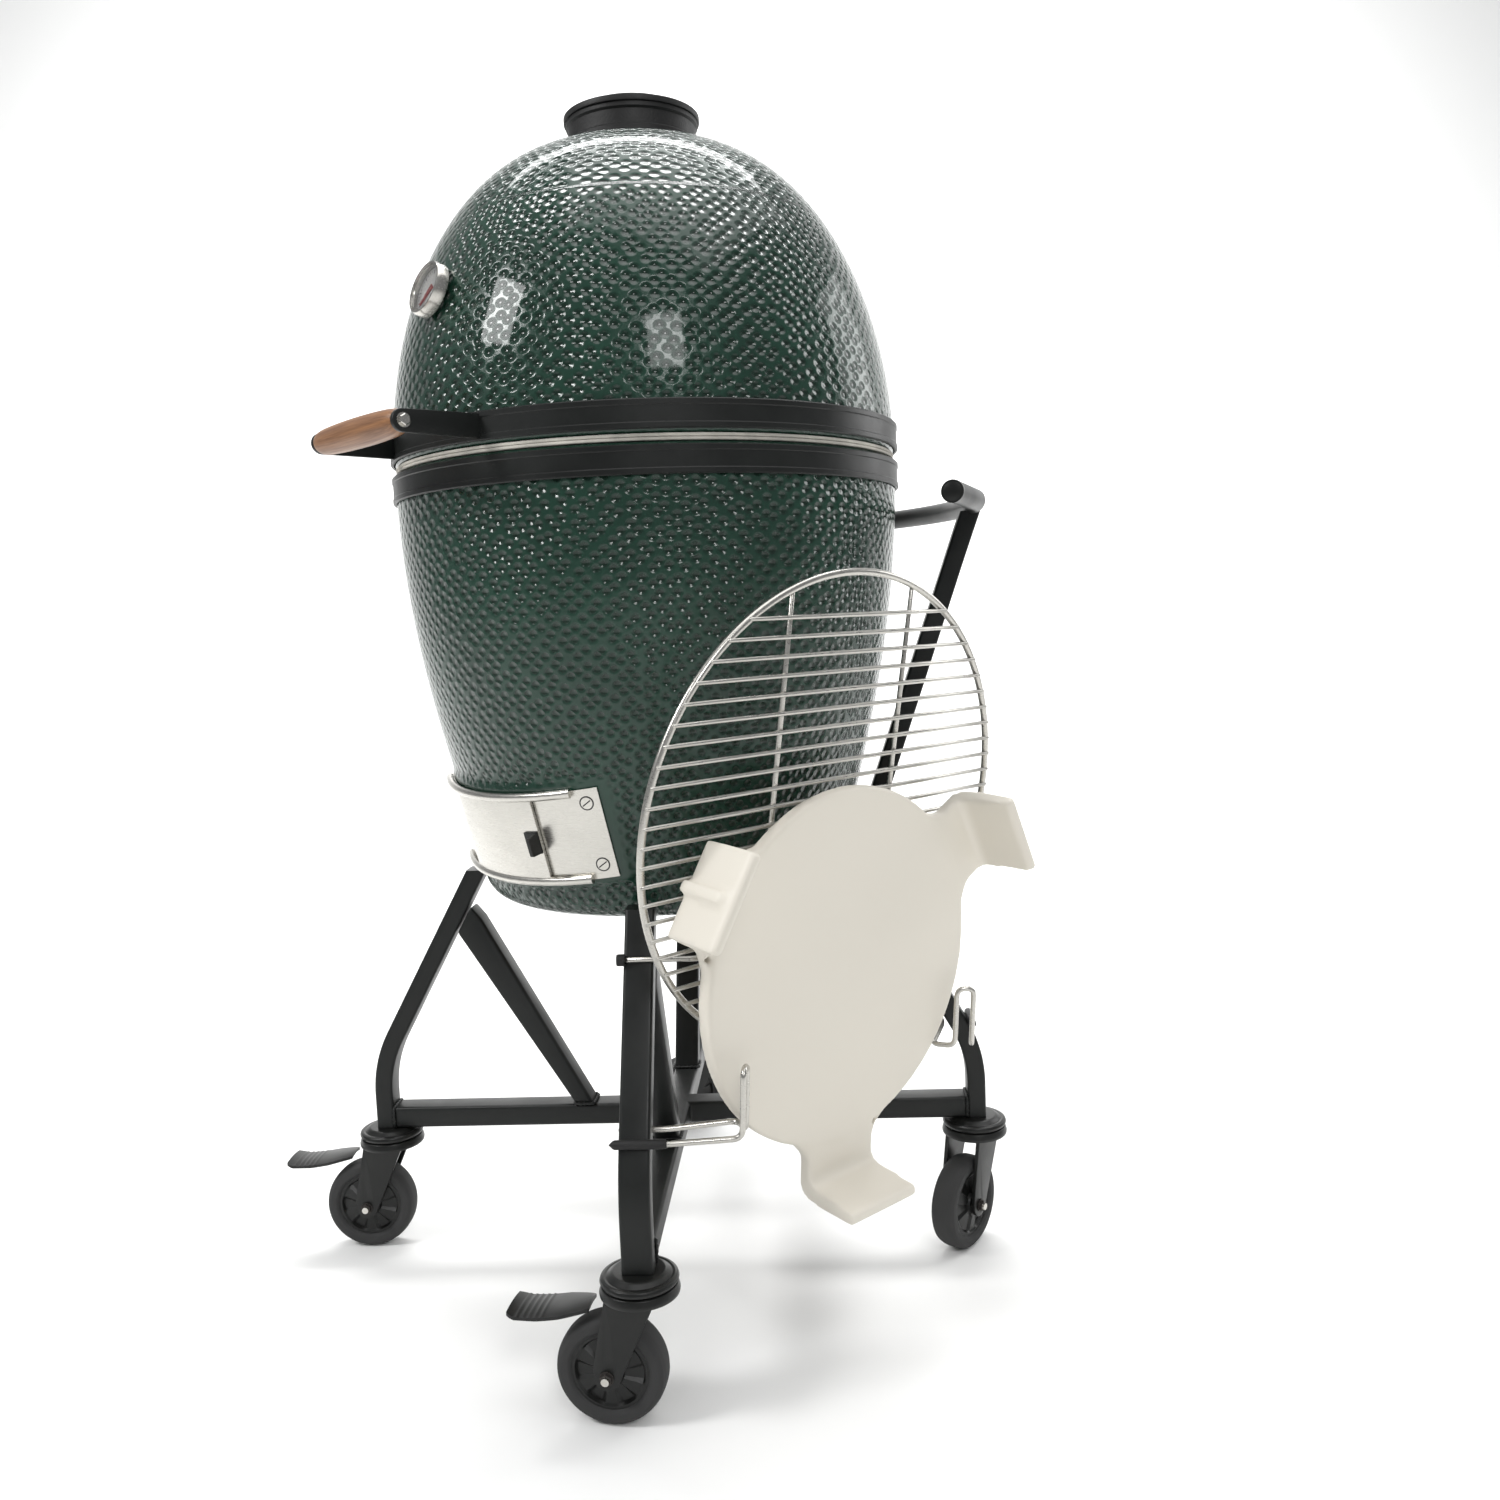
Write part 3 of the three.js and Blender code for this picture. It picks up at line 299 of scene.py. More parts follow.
def dust_group():
    """Settled dust: more on faces that look up, broken by noise."""
    g, given, out = new_group(
        "settled_dust",
        [("Position", VECTOR, None), ("Color", COLOR, (0, 0, 0, 1)), ("Dust", COLOR, (0.3, 0.28, 0.25, 1)),
         ("Amount", VALUE, 0.2)],
        [("Color", COLOR), ("Mask", VALUE)])
    facing = g.add("ShaderNodeSeparateXYZ", Vector=g.add("ShaderNodeTexCoord").outputs["Normal"])
    upward = g.span(facing.outputs["Z"], -0.2, 1.0)
    cloud = g.add("ShaderNodeTexNoise", Vector=given["Position"], Scale=38.0, Detail=5.0, Roughness=0.65)
    mask = g.math("MULTIPLY", g.math("MULTIPLY", upward, g.span(cloud.outputs["Fac"], 0.35, 0.75)),
                  given["Amount"])
    g.wire(g.mix(mask, given["Color"], given["Dust"]), out["Color"])
    g.wire(mask, out["Mask"])
    return g.tree


# ---- materials ----------------------------------------------------------------------------------


def rgba(color, gain=1.0):
    return (*[min(1.0, c * gain) for c in color], 1.0)


class Finish:
    """A material being made: its graph, its shader and the object's own coordinates."""

    def __init__(self, name, **fixed):
        self.material = bpy.data.materials.new(name)
        self.material.use_nodes = True
        self.graph = Graph(self.material.node_tree)
        self.shader = self.material.node_tree.nodes["Principled BSDF"]
        for key, value in fixed.items():
            self.shader.inputs[key.replace("_", " ")].default_value = value
        self.position = self.graph.add("ShaderNodeTexCoord").outputs["Object"]

    def group(self, name, **inputs):
        node = self.graph.tree.nodes.new("ShaderNodeGroup")
        node.node_tree = bpy.data.node_groups[name]
        self.graph.wire(self.position, node.inputs["Position"])
        for key, value in inputs.items():
            self.graph.wire(value, node.inputs[key.replace("_", " ")])
        return node.outputs

    def bump(self, height, distance, strength=0.6):
        node = self.graph.add("ShaderNodeBump", Strength=strength, Distance=distance, Height=height)
        self.graph.wire(node.outputs["Normal"], self.shader.inputs["Normal"])

    def set(self, **inputs):
        for key, value in inputs.items():
            self.graph.wire(value, self.shader.inputs[key.replace("_", " ")])
        return self


def dimple_group():
    """Round dents in staggered rows. The turn about Z times the girth, and the run along the outline, both in
    pitches, are turned by an eighth, so the nearest-point cells stand as diamonds. Each cell is one dent."""
    g, given, out = new_group(
        "dimples",
        [("Position", VECTOR, None), ("Run", VALUE, 0.0), ("Girth", VALUE, 0.25), ("Dimpled", VALUE, 1.0),
         ("Pitch", VALUE, 0.01)],
        [("Height", VALUE), ("Depth", VALUE)])
    place = g.add("ShaderNodeSeparateXYZ", Vector=given["Position"]).outputs
    turn = g.math("ARCTAN2", place["X"], g.math("MULTIPLY", place["Y"], -1.0))
    u = g.math("DIVIDE", g.math("MULTIPLY", turn, given["Girth"]), given["Pitch"])
    v = g.math("DIVIDE", given["Run"], g.math("MULTIPLY", given["Pitch"], 0.86))
    flat = g.add("ShaderNodeCombineXYZ", X=g.math("MULTIPLY", g.math("ADD", u, v), 0.7071),
                 Y=g.math("MULTIPLY", g.math("SUBTRACT", u, v), 0.7071))
    cells = g.add("ShaderNodeTexVoronoi", {"voronoi_dimensions": "2D"}, Vector=flat.outputs[0], Scale=1.0,
                  Randomness=0.42)
    dent = g.add("ShaderNodeMapRange", {"interpolation_type": "SMOOTHSTEP"}, Value=cells.outputs["Distance"])
    for key, number in (("From Min", 0.04), ("From Max", 0.56), ("To Min", 1.0), ("To Max", 0.0)):
        dent.inputs[key].default_value = number
    depth = g.math("MULTIPLY", dent.outputs[0], given["Dimpled"])
    g.wire(depth, out["Depth"])
    g.wire(g.math("MULTIPLY", depth, -1.0), out["Height"])
    return g.tree


def glaze_material(tones, size):
    """Thick dark green glaze: darker in each dimple as painted shade, lighter and greyer on the ridges between
    them.
    """
    f = Finish("dimpled_green_glaze", Specular_IOR_Level=0.4, Coat_Roughness=0.05)
    g = f.graph
    layers = [g.add("ShaderNodeAttribute", {"attribute_name": label}).outputs["Fac"]
              for label in ("run", "girth", "dimpled")]
    dents = f.group("dimples", Run=layers[0], Girth=layers[1], Dimpled=layers[2], Pitch=size.dimple_pitch)
    drift = f.group("mottle", Tone_A=(0, 0, 0, 1), Tone_B=(1, 1, 1, 1), Scale=9.0)["Mask"]
    ridge_color = g.mix(drift, rgba(tones.glaze_ridge, 0.8), rgba(tones.glaze_ridge, 1.15))
    bare = g.add("ShaderNodeAttribute", {"attribute_name": "bare"}).outputs["Fac"]
    clay = f.group("mottle", Tone_A=rgba(tones.fireclay, 0.55),
                   Tone_B=rgba(tones.fireclay_pale, 0.7), Scale=14.0,
                   Speck=rgba(tones.fireclay, 0.2), Specks=0.5)["Color"]
    gloss = g.span(dents["Depth"], 0.0, 1.0, 0.24, 0.15)
    # Painted shade: the base colour runs from the ridge tone to the darker dimple tone as each dent deepens.
    f.set(Base_Color=g.mix(bare, g.mix(dents["Depth"], ridge_color, rgba(tones.glaze_dimple_shade)), clay),
          Roughness=g.math("ADD", gloss, g.math("MULTIPLY", bare, 0.65), clamp=True),
          Coat_Weight=g.span(bare, 0.0, 1.0, 0.2, 0.0))
    peel = g.math("MULTIPLY", f.group("grain", Scale=260.0, Coarse=2.0)["Height"], 0.10)
    f.bump(g.math("ADD", dents["Height"], peel), size.dimple_depth, 1.0)
    return f.material


def fireclay_material(tones, name="fireclay", gain=1.0, pits=0.6):
    """Cast unglazed ceramic: chalky, slightly patchy, with pinholes."""
    f = Finish(name)
    color = f.group("mottle", Tone_A=rgba(tones.fireclay, gain), Tone_B=rgba(tones.fireclay_pale, gain),
                    Speck=rgba(tones.fireclay, gain * 0.72), Scale=11.0, Specks=0.35)
    dusty = f.group("settled_dust", Color=color["Color"], Dust=rgba(tones.fireclay, gain * 0.8), Amount=0.25)
    f.set(Base_Color=dusty["Color"], Roughness=f.graph.span(color["Mask"], 0.0, 1.0, 0.82, 0.95))
    f.bump(f.group("grain", Scale=240.0, Coarse=1.2, Pits=pits)["Height"], 0.0006, 0.5)
    return f.material


def powder_material(tones):
    """Satin black powder coat with its fine orange peel."""
    f = Finish("black_powder_coat", Specular_IOR_Level=0.3)
    color = f.group("mottle", Tone_A=rgba(tones.powder, 0.85), Tone_B=rgba(tones.powder, 1.3), Scale=14.0)
    dusty = f.group("settled_dust", Color=color["Color"], Amount=0.015)
    f.set(Base_Color=dusty["Color"], Roughness=f.graph.span(color["Mask"], 0.0, 1.0, 0.36, 0.46))
    f.bump(f.group("grain", Scale=900.0, Coarse=0.5)["Height"], 0.00012, 0.45)
    return f.material


def steel_material(tones, name, stretch, roughness=(0.20, 0.36), gain=1.0):
    """Stainless steel with brushing along one direction and faint heat tint."""
    f = Finish(name, Metallic=1.0)
    lines = f.group("brushing", Stretch=stretch)
    tint = f.group("mottle", Tone_A=rgba(tones.steel, gain),
                   Tone_B=rgba(tones.steel, gain * 1.08), Scale=18.0)
    f.set(Base_Color=tint["Color"], Roughness=f.graph.span(lines["Mask"], 0.0, 1.0, *roughness))
    f.bump(lines["Height"], 0.00005, 0.25)
    return f.material


def plain_material(name, tone, roughness, scale, bump, metallic=0.0, dust=0.02, pits=0.0, spread=0.06):
    """A moulded or cast finish: two close tones, grain and a little dust."""
    f = Finish(name, Metallic=metallic, Specular_IOR_Level=0.35)
    color = f.group("mottle", Tone_A=rgba(tone, 0.8), Tone_B=rgba(tone, 1.25), Scale=25.0)
    dusty = f.group("settled_dust", Color=color["Color"], Amount=dust)
    f.set(Base_Color=dusty["Color"], Roughness=f.graph.span(color["Mask"], 0.0, 1.0, roughness - spread,
                                                            roughness + spread))
    f.bump(f.group("grain", Scale=scale, Coarse=0.6, Pits=pits)["Height"], bump, 0.5)
    return f.material


def wood_material():
    """Oiled hardwood with its grain along X."""
    f = Finish("oiled_hardwood", Coat_Weight=0.1, Coat_Roughness=0.3)
    lines = f.group("brushing", Stretch=(9.0, 240.0, 240.0))
    color = f.graph.mix(lines["Mask"], (0.30, 0.14, 0.055, 1), (0.13, 0.052, 0.02, 1))
    f.set(Base_Color=color, Roughness=f.graph.span(lines["Mask"], 0.0, 1.0, 0.38, 0.55))
    f.bump(lines["Height"], 0.0003, 0.4)
    return f.material


def glass_material():
    f = Finish("gauge_glass", Roughness=0.02, IOR=1.45, Transmission_Weight=1.0)
    return f.material


def make_materials(tones, size):
    for build in (mottle_group, grain_group, brushing_group, dust_group, dimple_group):
        build()
    steel_material(tones, "brushed_plate", (40.0, 40.0, 2600.0))
    steel_material(tones, "drawn_wire", (500.0, 30.0, 500.0), (0.24, 0.36), 0.92)
    steel_material(tones, "turned_steel", (300.0, 300.0, 900.0), (0.16, 0.30))
    glaze_material(tones, size)
    fireclay_material(tones)
    fireclay_material(tones, "sooted_fireclay", 0.55)
    powder_material(tones)
    wood_material()
    glass_material()
    plain_material("cast_iron_paint", (0.010, 0.010, 0.010), 0.55, 380.0, 0.0005, pits=0.4)
    plain_material("raw_cast_iron", (0.05, 0.045, 0.042), 0.62, 300.0, 0.0006, metallic=0.7, pits=0.4)
    plain_material("tread_rubber", (0.006, 0.0065, 0.0065), 0.5, 700.0, 0.0002, dust=0.025)
    plain_material("hub_nylon", (0.006, 0.0065, 0.006), 0.36, 600.0, 0.00012, dust=0.02)
    plain_material("sleeve_rubber", (0.012, 0.012, 0.012), 0.6, 700.0, 0.0001, dust=0.01)
    plain_material("pressed_felt", (0.50, 0.48, 0.43), 0.95, 900.0, 0.0008, dust=0.0)
    plain_material("dial_white", (0.80, 0.79, 0.76), 0.4, 500.0, 0.00002, dust=0.0)
    # This black is the print of the dial marks, and also painted shade on the frame screws.
    plain_material("ink_and_painted_shade", (0.02, 0.02, 0.02), 0.45, 500.0, 0.00002, dust=0.0)
    plain_material("needle_red", (0.45, 0.03, 0.02), 0.4, 500.0, 0.00002, dust=0.0)


# ---- surfaces -----------------------------------------------------------------------------------


def in_scene(name, data):
    made = bpy.data.objects.new(name, data)
    bpy.context.scene.collection.objects.link(made)
    return made


def add_mesh(name, verts, faces):
    mesh = bpy.data.meshes.new(name)
    mesh.from_pydata(np.asarray(verts).tolist(), [], [tuple(int(i) for i in f) for f in faces])
    mesh.update()
    return in_scene(name, mesh)


def smoothed(made, sharp):
    """Smooth shading, apart from the edges that turn by more than the given degrees."""
    made.data.shade_smooth()
    made.data.set_sharp_from_angle(angle=math.radians(sharp))
    return made


def end_caps(rows, count):
    """The two flat faces that close a stack of outlines."""
    return [list(range(count)), list(range(count * (rows - 1), count * rows))]


def grid_faces(rows, columns, close_rows=False, close_columns=False):
    """The quads of a grid of points numbered row by row, wrapped round where asked."""
    r = np.arange(rows if close_rows else rows - 1)
    c = np.arange(columns if close_columns else columns - 1)
    i, j = np.meshgrid(r, c, indexing="ij")
    after_i, after_j = (i + 1) % rows, (j + 1) % columns
    return np.stack([i * columns + j, i * columns + after_j, after_i * columns + after_j,
                     after_i * columns + j],
                    axis=-1).reshape(-1, 4)


def settle(made, sharp=35.0, merge=1e-6):
    """Merges doubled points, points every face outwards and smooths all but the sharp edges."""
    bm = bmesh.new()
    bm.from_mesh(made.data)
    bmesh.ops.remove_doubles(bm, verts=bm.verts, dist=merge)
    bmesh.ops.dissolve_degenerate(bm, dist=merge / 2, edges=bm.edges)
    bmesh.ops.recalc_face_normals(bm, faces=bm.faces)
    bm.to_mesh(made.data)
    bm.free()
    return smoothed(made, sharp)


def joined(name, parts):
    """One piece made of several that may pass into each other."""
    bm = bmesh.new()
    for part in parts:
        bm.from_mesh(part.data)
        bpy.data.objects.remove(part)
    mesh = bpy.data.meshes.new(name)
    bm.to_mesh(mesh)
    bm.free()
    return in_scene(name, mesh)


def eased(points, bend, steps=4, closed=False):
    """A chain of straight runs whose corners are quadratic bends that start a given length before each."""
    pts = [np.asarray(p, float) for p in points]
    last = len(pts)
    line = [] if closed else [pts[0]]
    for i in range(0 if closed else 1, last if closed else last - 1):
        before, here, after = pts[i - 1], pts[i], pts[(i + 1) % last]
        into, out = np.linalg.norm(here - before), np.linalg.norm(after - here)
        reach = min(bend, into * 0.48, out * 0.48)
        start, end = here + (before - here) * reach / into, here + (after - here) * reach / out
        for t in np.linspace(0, 1, steps + 1):
            line.append((1 - t) ** 2 * start + 2 * t * (1 - t) * here + t * t * end)
    if not closed:
        line.append(pts[-1])
    return np.array(line)


def revolve(name, profile, steps=96, bend=None, sharp=35.0, arc=(0.0, 360.0), place=None):
    """A closed outline of (radius, height) carried round Z: each point moves on its own circle.
    A full turn joins up; a part turn is closed by its outline at each end."""
    outline = eased(profile, bend, 3, closed=True) if bend else np.asarray(profile, float)
    full = abs(arc[1] - arc[0]) >= 360
    angles = np.radians(np.linspace(arc[0], arc[1], steps + 1)[: steps if full else steps + 1])
    x = np.sin(angles)[:, None] * outline[None, :, 0]
    y = -np.cos(angles)[:, None] * outline[None, :, 0]
    z = np.broadcast_to(outline[None, :, 1], x.shape)
    verts = np.stack([x, y, z], axis=-1).reshape(-1, 3)
    count = len(outline)
    faces = grid_faces(len(angles), count, close_rows=full, close_columns=True).tolist()
    if not full:
        faces += end_caps(len(angles), count)
    made = add_mesh(name, verts, faces)
    if place is not None:
        made.data.transform(place)
    return settle(made, sharp)


def sweep_points(path, section, closed=False):
    """A flat outline carried along a path, kept square to it by turning each frame least from the last."""
    path = np.asarray(path, float)
    ahead = np.roll(path, -1, 0) if closed else np.vstack([path[1:], 2 * path[-1:] - path[-2:-1]])
    behind = np.roll(path, 1, 0) if closed else np.vstack([2 * path[:1] - path[1:2], path[:-1]])
    along = ahead - behind
    along /= np.linalg.norm(along, axis=1)[:, None]
    first = np.cross(along[0], (0, 0, 1) if abs(along[0][2]) < 0.9 else (1, 0, 0))
    sides = [first / np.linalg.norm(first)]
    for direction in along[1:]:
        side = sides[-1] - direction * sides[-1].dot(direction)
        sides.append(side / np.linalg.norm(side))
    sides = np.array(sides)
    ups = np.cross(sides, along)
    points = path[:, None] + sides[:, None] * section[None, :, :1] + ups[:, None] * section[None, :, 1:]
    return points.reshape(-1, 3)


def circle(radius, sides):
    a = np.arange(sides) * 2 * math.pi / sides
    return np.stack([np.cos(a), np.sin(a)], axis=1) * radius


def tube(name, path, section, closed=False, sharp=40.0):
    """A solid bar: the outline swept along the path, with flat ends unless the path closes on itself."""
    rows, count = len(path), len(section)
    faces = grid_faces(rows, count, close_rows=closed, close_columns=True).tolist()
    if not closed:
        faces += end_caps(rows, count)
    return settle(add_mesh(name, sweep_points(path, section, closed), faces), sharp)


def domed_rod(path, radius, sides=10, cap=3):
    """Points and faces of a round wire whose two ends are small domes."""
    path = np.asarray(path, float)
    turns = np.linspace(0, math.pi / 2, cap + 1)[:-1]
    start, end = path[0] - path[1], path[-1] - path[-2]
    start, end = start / np.linalg.norm(start), end / np.linalg.norm(end)
    low = [path[0] + start * radius * (np.cos(t) - 1) for t in turns]
    high = [path[-1] + end * radius * (np.cos(t) - 1) for t in turns[::-1]]
    middle_part = path[1:-1]
    line = np.vstack([low, *([middle_part] if len(middle_part) else []), high])
    scale = np.concatenate([np.sin(turns).clip(0.02), np.ones(len(middle_part)),
                            np.sin(turns[::-1]).clip(0.02)])
    ring = sweep_points(line, circle(radius, sides)).reshape(len(line), sides, 3)
    ring = line[:, None] + (ring - line[:, None]) * scale[:, None, None]
    faces = grid_faces(len(line), sides, close_columns=True).tolist() + end_caps(len(line), sides)
    return ring.reshape(-1, 3), faces


def wires(name, rods, sharp=60.0):
    """Several round wires in one piece; each is (path, radius) or (path, radius, sides)."""
    verts, faces, base = [], [], 0
    for path, radius, *sides in rods:
        v, f = domed_rod(path, radius, *sides)
        verts.append(v)
        faces += [[i + base for i in face] for face in f]
        base += len(v)
    return settle(add_mesh(name, np.vstack(verts), faces), sharp, merge=1e-7)


def fixed_mesh(made):
    """Replaces a piece's mesh by what its modifiers make of it."""
    bpy.context.view_layer.update()
    result = bpy.data.meshes.new_from_object(made.evaluated_get(bpy.context.evaluated_depsgraph_get()))
    made.modifiers.clear()
    made.data = result
    return made


def refined(node, edge, segments=3):
    """A CAD node's solid with its doubled points merged, flat facets joined and edges rounded."""
    copy = NODES[node].data.copy()
    made = in_scene(f"{node}_finished", copy)
    copy.materials.clear()
    bm = bmesh.new()
    bm.from_mesh(copy)
    bmesh.ops.remove_doubles(bm, verts=bm.verts, dist=2e-5)
    bmesh.ops.dissolve_limit(bm, angle_limit=math.radians(1.0), verts=bm.verts, edges=bm.edges)
    bmesh.ops.recalc_face_normals(bm, faces=bm.faces)
    bm.to_mesh(copy)
    bm.free()
    bevel = made.modifiers.new("edge", "BEVEL")
    bevel.width, bevel.segments, bevel.limit_method = edge, segments, "ANGLE"
    bevel.angle_limit = math.radians(32.0)
    bevel.use_clamp_overlap = True
    return smoothed(fixed_mesh(made), 50)


def dress(made, material, body, slot_shade, *replaced):
    """Gives a piece its material, its body and the CAD nodes that it stands for. The slot is not used."""
    made.data.materials.clear()
    made.data.materials.append(bpy.data.materials[material])
    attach(made, body)
    if replaced:
        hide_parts(*replaced)
    return made


def dress_solid(node, edge, material, body, slot_shade, segments=3):
    """Finishes a CAD node's own solid and dresses it in the node's place."""
    return dress(refined(node, edge, segments), material, body, slot_shade, node)


# ---- ceramic shells -----------------------------------------------------------------------------


def base_radius(z, size):
    """The fire base's outside: a narrow foot that flares, then rises almost straight to the rim."""
    flank = FOOT_Z + size.foot_corner
    t = np.clip((z - flank) / (RIM_Z - flank), 0, 1)
    return size.foot_radius + (EGG - size.foot_radius) * (1 - (1 - t ** 1.2) ** 2.2)


def glazed_shell(name, outline, inner, girth, fade, push):
    """A thick turned shell with what its glaze needs at each point: the length run along the outline ("run"),
    the radius that the dimples are counted round ("girth"), how much of the dimpling stays ("dimpled") and
    whether the point is inside, where the clay is bare ("bare"). girth(radius) picks the counted radius,
    fade(x, y, z) says how much dimpling stays, and push(points) may move the outside."""
    outline = np.asarray(outline)
    length = np.concatenate([[0], np.cumsum(np.hypot(*np.diff(outline, axis=0).T))])
    count = int(length[-1] / SHELL_STEP)
    along = np.linspace(0, length[-1], count)
    radius, height = np.interp(along, length, outline[:, 0]), np.interp(along, length, outline[:, 1])
    turn = np.arange(SHELL_TURN) * 2 * math.pi / SHELL_TURN
    x = radius[:, None] * np.sin(turn)
    y = -radius[:, None] * np.cos(turn)
    z = np.broadcast_to(height[:, None], x.shape)
    keep = fade(x, y, z)
    points = push(np.stack([x, y, z], axis=-1))
    inside = np.asarray(inner)
    inner_points = np.stack([inside[:, 0, None] * np.sin(turn), -inside[:, 0, None] * np.cos(turn),
                             np.broadcast_to(inside[:, 1, None], (len(inside), SHELL_TURN))], axis=-1)
    verts = np.vstack([points.reshape(-1, 3), inner_points.reshape(-1, 3)])
    rows = count + len(inside)
    faces = grid_faces(rows, SHELL_TURN, close_rows=inside[-1][0] > 1e-6, close_columns=True).tolist()
    made = add_mesh(name, verts, faces)
    rest = np.zeros(inner_points.size // 3)
    for label, values in (("run", np.broadcast_to(along[:, None], x.shape)),
                          ("girth", np.broadcast_to(girth(radius)[:, None], x.shape)), ("dimpled", keep),
                          ("bare", np.zeros(x.shape))):
        layer = made.data.attributes.new(label, "FLOAT", "POINT")
        within = rest + 1 if label == "bare" else rest
        layer.data.foreach_set("value", np.concatenate([values.reshape(-1), within]).astype(np.float32))
    return settle(made, 60.0)


def door_radius():
    """The inner radius of the draft door's frame, about the leaning axis."""
    local = seen_from(hinge_place("draft_door_slide"), points_of("draft_frame"))
    return float(np.hypot(local[:, 0], local[:, 1]).min())


class KAMADO_OT_ceramic(bpy.types.Operator):
    """Adds the glazed fire base and dome, and the fire clay parts inside them"""

    bl_idname = "kamado.ceramic"
    bl_label = "Ceramic"

    def execute(self, context):
        size = context.scene.kamado_sizes
        self.base(size)
        self.dome(size)
        dress_solid("firebox", 0.004, "sooted_fireclay", "nest", "fireclay")
        dress_solid("fire_ring", 0.004, "sooted_fireclay", "nest", "fireclay")
        dress_solid("fire_grate", 0.0012, "raw_cast_iron", "nest", "cast_iron")
        return {"FINISHED"}

    def base(self, size):
        flank = FOOT_Z + size.foot_corner
        a = np.radians(np.linspace(0, 90, 12))
        corner = np.stack([size.foot_radius - size.foot_corner * (1 - np.sin(a)),
                           flank - size.foot_corner * np.cos(a)], axis=1)
        z = np.linspace(flank, RIM_Z - 0.004, 60)[1:]
        lip = [(EGG - 0.0015, RIM_Z - 0.0015), (EGG - 0.005, RIM_Z)]
        outline = np.vstack([corner, np.stack([base_radius(z, size), z], axis=1), lip])
        down = np.linspace(RIM_Z, flank, 24)
        inner = np.vstack([np.stack([base_radius(down, size) - size.wall, down], axis=1),
                           [(size.foot_radius - size.wall - 0.014, FOOT_Z + 0.026), (0.0, FOOT_Z + 0.026)],
                           [(0.0, FOOT_Z)]])
        place = np.array(hinge_place("draft_door_slide").inverted())
        reach = door_radius() - 0.0008

        def pad(points):
            """How far a point is inside the raised pad that carries the draft door, 0 to 1."""
            local = points @ place[:3, :3].T + place[:3, 3]
            angle = np.degrees(np.arctan2(local[..., 0], -local[..., 1]))
            side = np.clip((PAD_DEGREES - np.abs(angle)) / 3.0, 0, 1)
            level = np.clip((PAD_HALF_HEIGHT - np.abs(local[..., 2])) / 0.006, 0, 1)
            return local, np.clip(side * level, 0, 1)

        def fade(x, y, z):
            inside = pad(np.stack([x, y, z], axis=-1))[1]
            return (1 - inside) * np.clip((RIM_Z - z) / 0.01, 0, 1)

        def push(points):
            local, inside = pad(points)
            radius = np.hypot(local[..., 0], local[..., 1])
            grow = 1 + np.clip(reach - radius, 0, 0.012) / radius * inside
            local[..., :2] *= grow[..., None]
            return (local - place[:3, 3]) @ place[:3, :3]

        made = glazed_shell("fire_base", outline, inner, lambda r: np.full_like(r, EGG * 0.95), fade, push)
        self.open_port(made)
        dress(made, "dimpled_green_glaze", "nest", "glaze", "base_shell")

    def open_port(self, made):
        """Cuts the draught hole through the wall, where the CAD solid has it."""
        low, high = Vector((-PORT_HALF_WIDTH, -0.30, PORT_LOW)), Vector((PORT_HALF_WIDTH, -0.15, PORT_HIGH))
        corners = [(x, y, z) for x in (low.x, high.x) for y in (low.y, high.y) for z in (low.z, high.z)]
        faces = [(0, 1, 3, 2), (4, 6, 7, 5), (0, 4, 5, 1), (2, 3, 7, 6), (0, 2, 6, 4), (1, 5, 7, 3)]
        cutter = settle(add_mesh("port_cutter", corners, faces))
        cut = made.modifiers.new("port", "BOOLEAN")
        cut.operation, cut.object, cut.solver = "DIFFERENCE", cutter, "EXACT"
        fixed_mesh(made)
        bpy.data.objects.remove(cutter)

    def dome(self, size):
        height = CHIMNEY_Z - DOME_Z - size.chimney_height
        a = np.radians(np.linspace(0, 90, 60))
        lip = [(EGG - 0.005, DOME_Z), (EGG - 0.0015, DOME_Z + 0.0015)]
        curve = np.stack([size.chimney_radius + (EGG - size.chimney_radius) * np.cos(a),
                          DOME_Z + height * np.sin(a)], axis=1)[1:]
        outline = np.vstack([lip, curve, [(size.chimney_radius, CHIMNEY_Z)]])
        bore = size.chimney_bore
        inside = np.stack([bore + (EGG - size.wall - bore) * np.cos(a[::-3]),
                           DOME_Z + (height - size.wall) * np.sin(a[::-3])], axis=1)
        inner = np.vstack([[(bore, CHIMNEY_Z)], inside])

        def fade(x, y, z):
            return np.clip((z - DOME_Z) / 0.01, 0,
                           1) * np.clip((np.hypot(x, y) - size.chimney_radius) / 0.01, 0, 1)

        made = glazed_shell("dome", outline, inner,
                            lambda r: (np.floor(r / DIMPLE_BELT) + 0.5) * DIMPLE_BELT, fade,
                            lambda points: points)
        dress(made, "dimpled_green_glaze", "dome", "glaze", "dome_shell")


# ---- gaskets, bands, hinge ----------------------------------------------------------------------


def hex_bolt(name, centre, axis, radius, depth):
    """A hexagon head with a chamfered face and a round flange, seated at centre and pointing along axis."""
    r = np.array([0, 0.8, 1.0, 1.0, 1.28, 1.28, 0]) * radius
    z = np.array([1, 1, 0.86, 0.22, 0.22, 0, 0]) * depth
    sides = 36
    turn = np.arange(sides) * 2 * math.pi / sides
    hexagon = math.cos(math.pi / 6) / np.cos((turn + math.pi / 6) % (math.pi / 3) - math.pi / 6)
    stretch = np.where((np.arange(len(r)) < 4)[:, None], hexagon[None, :] * 1.08, 1.0)
    verts = np.stack([r[:, None] * stretch * np.cos(turn), r[:, None] * stretch * np.sin(turn),
                      np.broadcast_to(z[:, None], (len(r), sides))], axis=-1).reshape(-1, 3)
    made = add_mesh(name, verts, grid_faces(len(r), sides, close_columns=True).tolist())
    made.data.transform(facing(axis, centre))
    return settle(made, 30.0)


